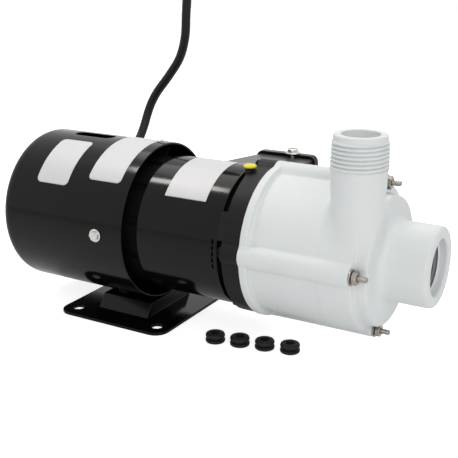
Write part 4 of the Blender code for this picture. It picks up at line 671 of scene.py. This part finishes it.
# The inlet's thread narrows by 1 in 16 and fades out at both ends.
screw_x = np.linspace(LEDGE, THREAD_END, 58)
fade = np.clip((screw_x - THREAD_END) / 0.002, 0, 1) * np.clip((0.2020 - screw_x) / 0.0012, 0, 1)
wave = thread_wave(screw_x / THREAD_PITCH + turn[:, None] / (2 * np.pi))
inner_thread = THREAD_RADIUS - (LEDGE - screw_x) / 32 + 0.0011 * fade * wave
inner_thread = np.stack([screw_x * one[:, None], inner_thread], axis=-1)
inside = rounded_line([(THREAD_END, 0.0146), (0.1856, 0.0125), (0.1676, 0.0125), (0.1676, 0.0136),
                       (0.1636, 0.0136), (0.1636, 0.0240), (0.1746, 0.0277), (0.1746, 0.0327),
                       (0.1655, 0.0337), (0.1650, 0.0394), (0.1455, 0.0394), (0.1455, 0.0355),
                       (0.1070, 0.0355), (0.1070, 0.0394), (0.1046, 0.0394), (0.1046, 0.0400),
                       (FLANGE_BACK, 0.0400)], 0.0004, 3)
inside = np.broadcast_to(inside, (sides,) + inside.shape)
grid = np.concatenate([swelled(bent_round(outside), 0.0070, 0.0052), bent_round(inner_thread[:, 1:]),
                       bent_round(inside)], axis=1)
casing = mesh_piece("pump_casing", [(grid, True, True)], pump_white)

# Outlet: it leaves the near side of the volute upright and ends in an outside pipe thread. It is
# moulded in one with the casing, whose wall swells up round its foot in a hollow curve.
COLLAR, OUTLET_TOP = 0.1216, 0.1428
stations = np.concatenate([[OUTLET_FOOT, OUTLET_NECK], np.linspace(COLLAR, OUTLET_TOP, 220)])
angle = np.linspace(0, 2 * np.pi, 144, endpoint=False)[:, None]
tube = np.interp(stations, [OUTLET_FOOT, OUTLET_NECK, COLLAR], [FOOT_RADIUS, OUTLET_RADIUS, 0.0157])
crest = 0.0164 - np.maximum(stations - 0.1246, 0) / 32
shoulder = np.clip((stations - 0.1222) / 0.0022, 0, 1)
crest = tube * (1 - shoulder ** 0.6) + crest * shoulder ** 0.6
ripple = 0.00160 * np.clip((stations - 0.1232) / 0.0010, 0, 1) * np.clip((0.1394 - stations) / 0.0010, 0, 1)
ripple = ripple * (1 - thread_wave(stations / THREAD_PITCH + angle / (2 * np.pi)))
ring = (-0.0008 * np.clip((stations - 0.1388) / 0.0008, 0, 1)
        - 0.0006 * np.clip((stations - 0.1421) / 0.0007, 0, 1) ** 2)
radius = crest + ring - ripple
top = np.array([(OUTLET_TOP, 0.0115), (0.1426, 0.0109), (0.1250, 0.0103), (0.1000, 0.0098),
                (OUTLET_FOOT, 0.0092)])
profile = np.concatenate([np.stack([stations + 0 * angle, radius], axis=-1),
                          np.broadcast_to(top, (144,) + top.shape)], axis=1)
pipe = np.stack([OUTLET_X + profile[..., 1] * np.sin(angle), OUTLET_Y + profile[..., 1] * np.cos(angle),
                 profile[..., 0]], axis=-1)
outlet = mesh_piece("outlet_pipe", [(pipe[::-1], True, True)], pump_white)
way_line = np.array([(0.0680, 0), (0.0680, 0.0088), (0.1000, 0.00975), (0.1250, 0.01025),
                     (0.1420, 0.0104), (0.1420, 0)])
way = mesh_piece("outlet_way", [lathe(way_line, (OUTLET_X, OUTLET_Y, 0), (0, 0, 1), 240)], pump_white,
                 body=None)
room_line = np.array([(0.1456, 0), (0.1456, 0.0393), (0.1649, 0.0393), (0.1649, 0.0326), (0.1745, 0.0326),
                      (0.1745, 0.0279), (0.1637, 0.0242), (0.1637, 0)])
channel = mesh_piece("channel", [lathe(room_line, SHAFT, (1, 0, 0), 240)], pump_white, body=None)
whole = worked(casing, [("UNION", outlet), ("DIFFERENCE", way), ("DIFFERENCE", channel)],
               [pump_white, bore_painted_shade], 60)


def face_middles(mesh):
    """The middle of each face of a mesh, one row of x, y and z for each."""
    middles = np.empty(len(mesh.polygons) * 3)
    mesh.polygons.foreach_get("center", middles)
    return middles.reshape(-1, 3)


middle_x, middle_y, middle_z = face_middles(whole).T
off_axis = np.hypot(middle_y, middle_z - SHAFT_HEIGHT)
# Faces deep in the inlet's bore get the grey plastic of painted shade.
bore_shade_faces = (middle_x > 0.1650) & (middle_x < 0.2016) & (off_axis < 0.0172)
whole.polygons.foreach_set("material_index", bore_shade_faces.astype(np.int32))
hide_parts("volute_casing")

# Casing bolts: stainless through bolts with hexagon nuts and plain washers in front of the bosses,
# and a few turns of bare thread past each nut.
bolt_steel = surface("bolt_steel", (0.36, 0.335, 0.30), 0.27, metallic=1.0, mottle=0.18, spots=700,
                     grain=0.03, grain_size=1200)
# Painted shade: the bolt heads sit in the dark gap between shell and adapter and are drawn near-black for its
# shade.
head_paint = surface("head_paint", (0.004, 0.004, 0.004), 0.60, mottle=0.3, spots=200, grain=0.05, level=0.05)
NUT_FLATS, HEAD_FLATS, BOLT_PITCH = 0.0072, 0.0064, 0.0008
washer_line = rounded_line([(0.1713, 0.00195), (0.1713, 0.0047), (0.1721, 0.0047), (0.1721, 0.00195)],
                           0.00018, 3)
washer_line = np.vstack([washer_line, washer_line[:1]])
nut_line = np.array([(0.1724, 0.00195), (0.1724, 0.0035), (0.1727, 0.0039), (0.1731, 0.00416),
                     (0.1748, 0.00416), (0.1752, 0.0038), (0.1754, 0.0034), (0.1754, 0.0021),
                     (0.1751, 0.00195), (0.1724, 0.00195)])
tail = np.linspace(0.1700, 0.1804, 84)
ridge = 0.00165 - 0.00016 * (0.5 + 0.5 * np.cos(2 * np.pi * tail / BOLT_PITCH))
shank = np.vstack([[(0.0869, 0), (0.0869, 0.0029), (0.0873, 0.0034), (0.0895, 0.0034), (0.0895, 0.00165)],
                   np.stack([tail, ridge], axis=-1), [(0.1808, 0.0012), (0.1810, 0.0009), (0.1810, 0)]])
for number, boss in enumerate(BOSS_TURNS, 1):
    middle = np.array((0.0, -BOLT_CIRCLE * math.sin(boss), SHAFT_HEIGHT + BOLT_CIRCLE * math.cos(boss)))
    washer = mesh_piece(f"washer_{number}", [lathe(washer_line, middle, (1, 0, 0), 48)], bolt_steel)
    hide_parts(f"casing_washer_{number}")
    nut_grid = hex_lathe(nut_line, NUT_FLATS, middle, (1, 0, 0), 0.1725, 0.1753, 72, 0.3 * number)
    nut = mesh_piece(f"nut_{number}", [nut_grid], bolt_steel, sharp=22)
    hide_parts(f"casing_nut_{number}")
    bolt_grid = hex_lathe(shank, HEAD_FLATS, middle, (1, 0, 0), 0.0868, 0.0896, 48)
    bolt = mesh_piece(f"bolt_{number}", [bolt_grid], bolt_steel)
    # The head and the shank short of x = 0.1 m get the near-black painted shade.
    bolt.data.materials.append(head_paint)
    shaded_bolt_faces = face_middles(bolt.data)[:, 0] < 0.1000
    bolt.data.polygons.foreach_set("material_index", shaded_bolt_faces.astype(np.int32))
    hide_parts(f"casing_bolt_{number}")

# Wiring box: folded sheet in dark paint on the far side, closed by an enamelled pan lid that one
# slotted hexagon screw holds.
box_paint = surface("box_paint", (0.070, 0.070, 0.072), 0.30, mottle=0.2, spots=150, grain=0.03,
                    grain_size=800)
box = soft_copy("wiring_box", "box", box_paint, 0.0003, 2)
lid = soft_copy("wiring_box_lid", "box_lid", black_enamel, 0.0005, 3)
LID_SCREW_X, LID_SCREW_Y = 0.0888, 0.0500
lid_screw_line = np.array([(0.1015, 0), (0.1015, 0.0015), (0.1083, 0.0015), (0.1083, 0.0050),
                           (0.1086, 0.0051), (0.1090, 0.0049), (0.1092, 0.0040), (0.1104, 0.0039),
                           (0.1111, 0.0035), (0.1114, 0.0029), (0.1115, 0)])
lid_screw_grid = hex_lathe(lid_screw_line, 0.0068, (LID_SCREW_X, LID_SCREW_Y, 0.0), (0, 0, 1),
                           0.1091, 0.1114, 72, 0.25)
lid_screw = mesh_piece("lid_screw_head", [lid_screw_grid], zinc_plate, sharp=22)
slot_place = Matrix.Translation((LID_SCREW_X, LID_SCREW_Y, 0.1119)) @ Matrix.Rotation(0.5, 4, "Z")
take_out(lid_screw, [round_slot("slot", 0.0100, 0.0012, 0.0014, slot_place)])
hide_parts("lid_screw")

# Grommets: four bushings moulded in black rubber, each with a groove round its middle that snaps
# into a hole of the base plate. They stand loose in a row beside the pump.
grommet_rubber = surface("grommet_rubber", (0.012, 0.012, 0.013), 0.55, mottle=0.3, spots=420, grain=0.04,
                         grain_size=1600, level=0.25)
grommet_line = rounded_line([(0.0, 0.0030), (0.0, 0.0062), (0.00205, 0.0063), (0.0023, 0.0042),
                             (0.0037, 0.0042), (0.00395, 0.0063), (0.0060, 0.0060), (0.0060, 0.0030)],
                            [0.0012, 0.0004, 0.0004, 0.0004, 0.0004, 0.0016], 5)
grommet_line = np.vstack([grommet_line, grommet_line[:1]])
for number in range(4):
    place = (0.0757 + 0.0160 * number, -0.0310 + 0.0033 * number, 0.0)
    grommet = mesh_piece(f"rubber_grommet_{number + 1}", [lathe(grommet_line, place, (0, 0, 1), 64)],
                         grommet_rubber)
    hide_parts(f"grommet_{number + 1}")

# Rear bell: the motor's end bell, cast in aluminium and painted black like the rest of the motor.
# It shows in the gap between shroud and shell, where its dull near-black finish is also painted
# shade that keeps the gap dark.
# Black paint, and painted shade for the gap: duller than the enamel.
bell_paint_and_shade = surface("bell_paint_and_shade", (0.005, 0.005, 0.005), 0.50, mottle=0.3, spots=200, grain=0.05, level=0.10)
bell = soft_copy("rear_end_bell", "bell", bell_paint_and_shade, 0.0004, 2)

# Inner parts: windings, bearings, magnets, shaft, seals and impeller, held between the outer
# pieces. Each keeps its CAD solid and gets the finish of its own metal, plastic or magnet, except
# the stator's steel sheets, drawn dull and near-black as painted shade for the gap between shroud
# and shell.
finishes = {
    # Painted shade: the stator's sheets show in the gap between shroud and shell and are drawn near-black for
    # its shade.
    "laminated_steel": surface("steel_sheets_painted_shade", (0.005, 0.005, 0.005), 0.60, mottle=0.3, spots=500,
                               grain=0.1, level=0.06),
    "copper_winding": surface("enamelled_copper", (0.42, 0.13, 0.05), 0.32, metallic=0.8, mottle=0.35,
                              spots=900, grain=0.2),
    "cast_aluminium": surface("cast_aluminium_skin", (0.40, 0.41, 0.42), 0.50, metallic=1.0, mottle=0.15,
                              spots=300, grain=0.08),
    "stainless_steel": bolt_steel,
    "black_rubber": grommet_rubber,
    "ferrite": surface("ferrite_magnet", (0.045, 0.045, 0.05), 0.50, mottle=0.3, spots=500, grain=0.05),
    "ceramic": surface("alumina_ceramic", (0.72, 0.70, 0.64), 0.22, mottle=0.05, spots=400, grain=0.01),
    "carbon_graphite": surface("carbon_graphite_skin", (0.035, 0.035, 0.038), 0.40, mottle=0.3, spots=800,
                               grain=0.04),
    "grey_nylon": surface("grey_nylon_skin", (0.26, 0.26, 0.27), 0.45, mottle=0.12, spots=250, grain=0.03),
    "white_polypropylene": pump_white,
    "black_gloss_enamel": black_enamel,
    "dark_cast_paint": adapter_paint,
    "yellow_plastic": cap_yellow,
}
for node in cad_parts:
    solid = bpy.data.objects[node]
    for slot in solid.material_slots:
        slot.material = finishes[slot.material.name.split(".")[0]]
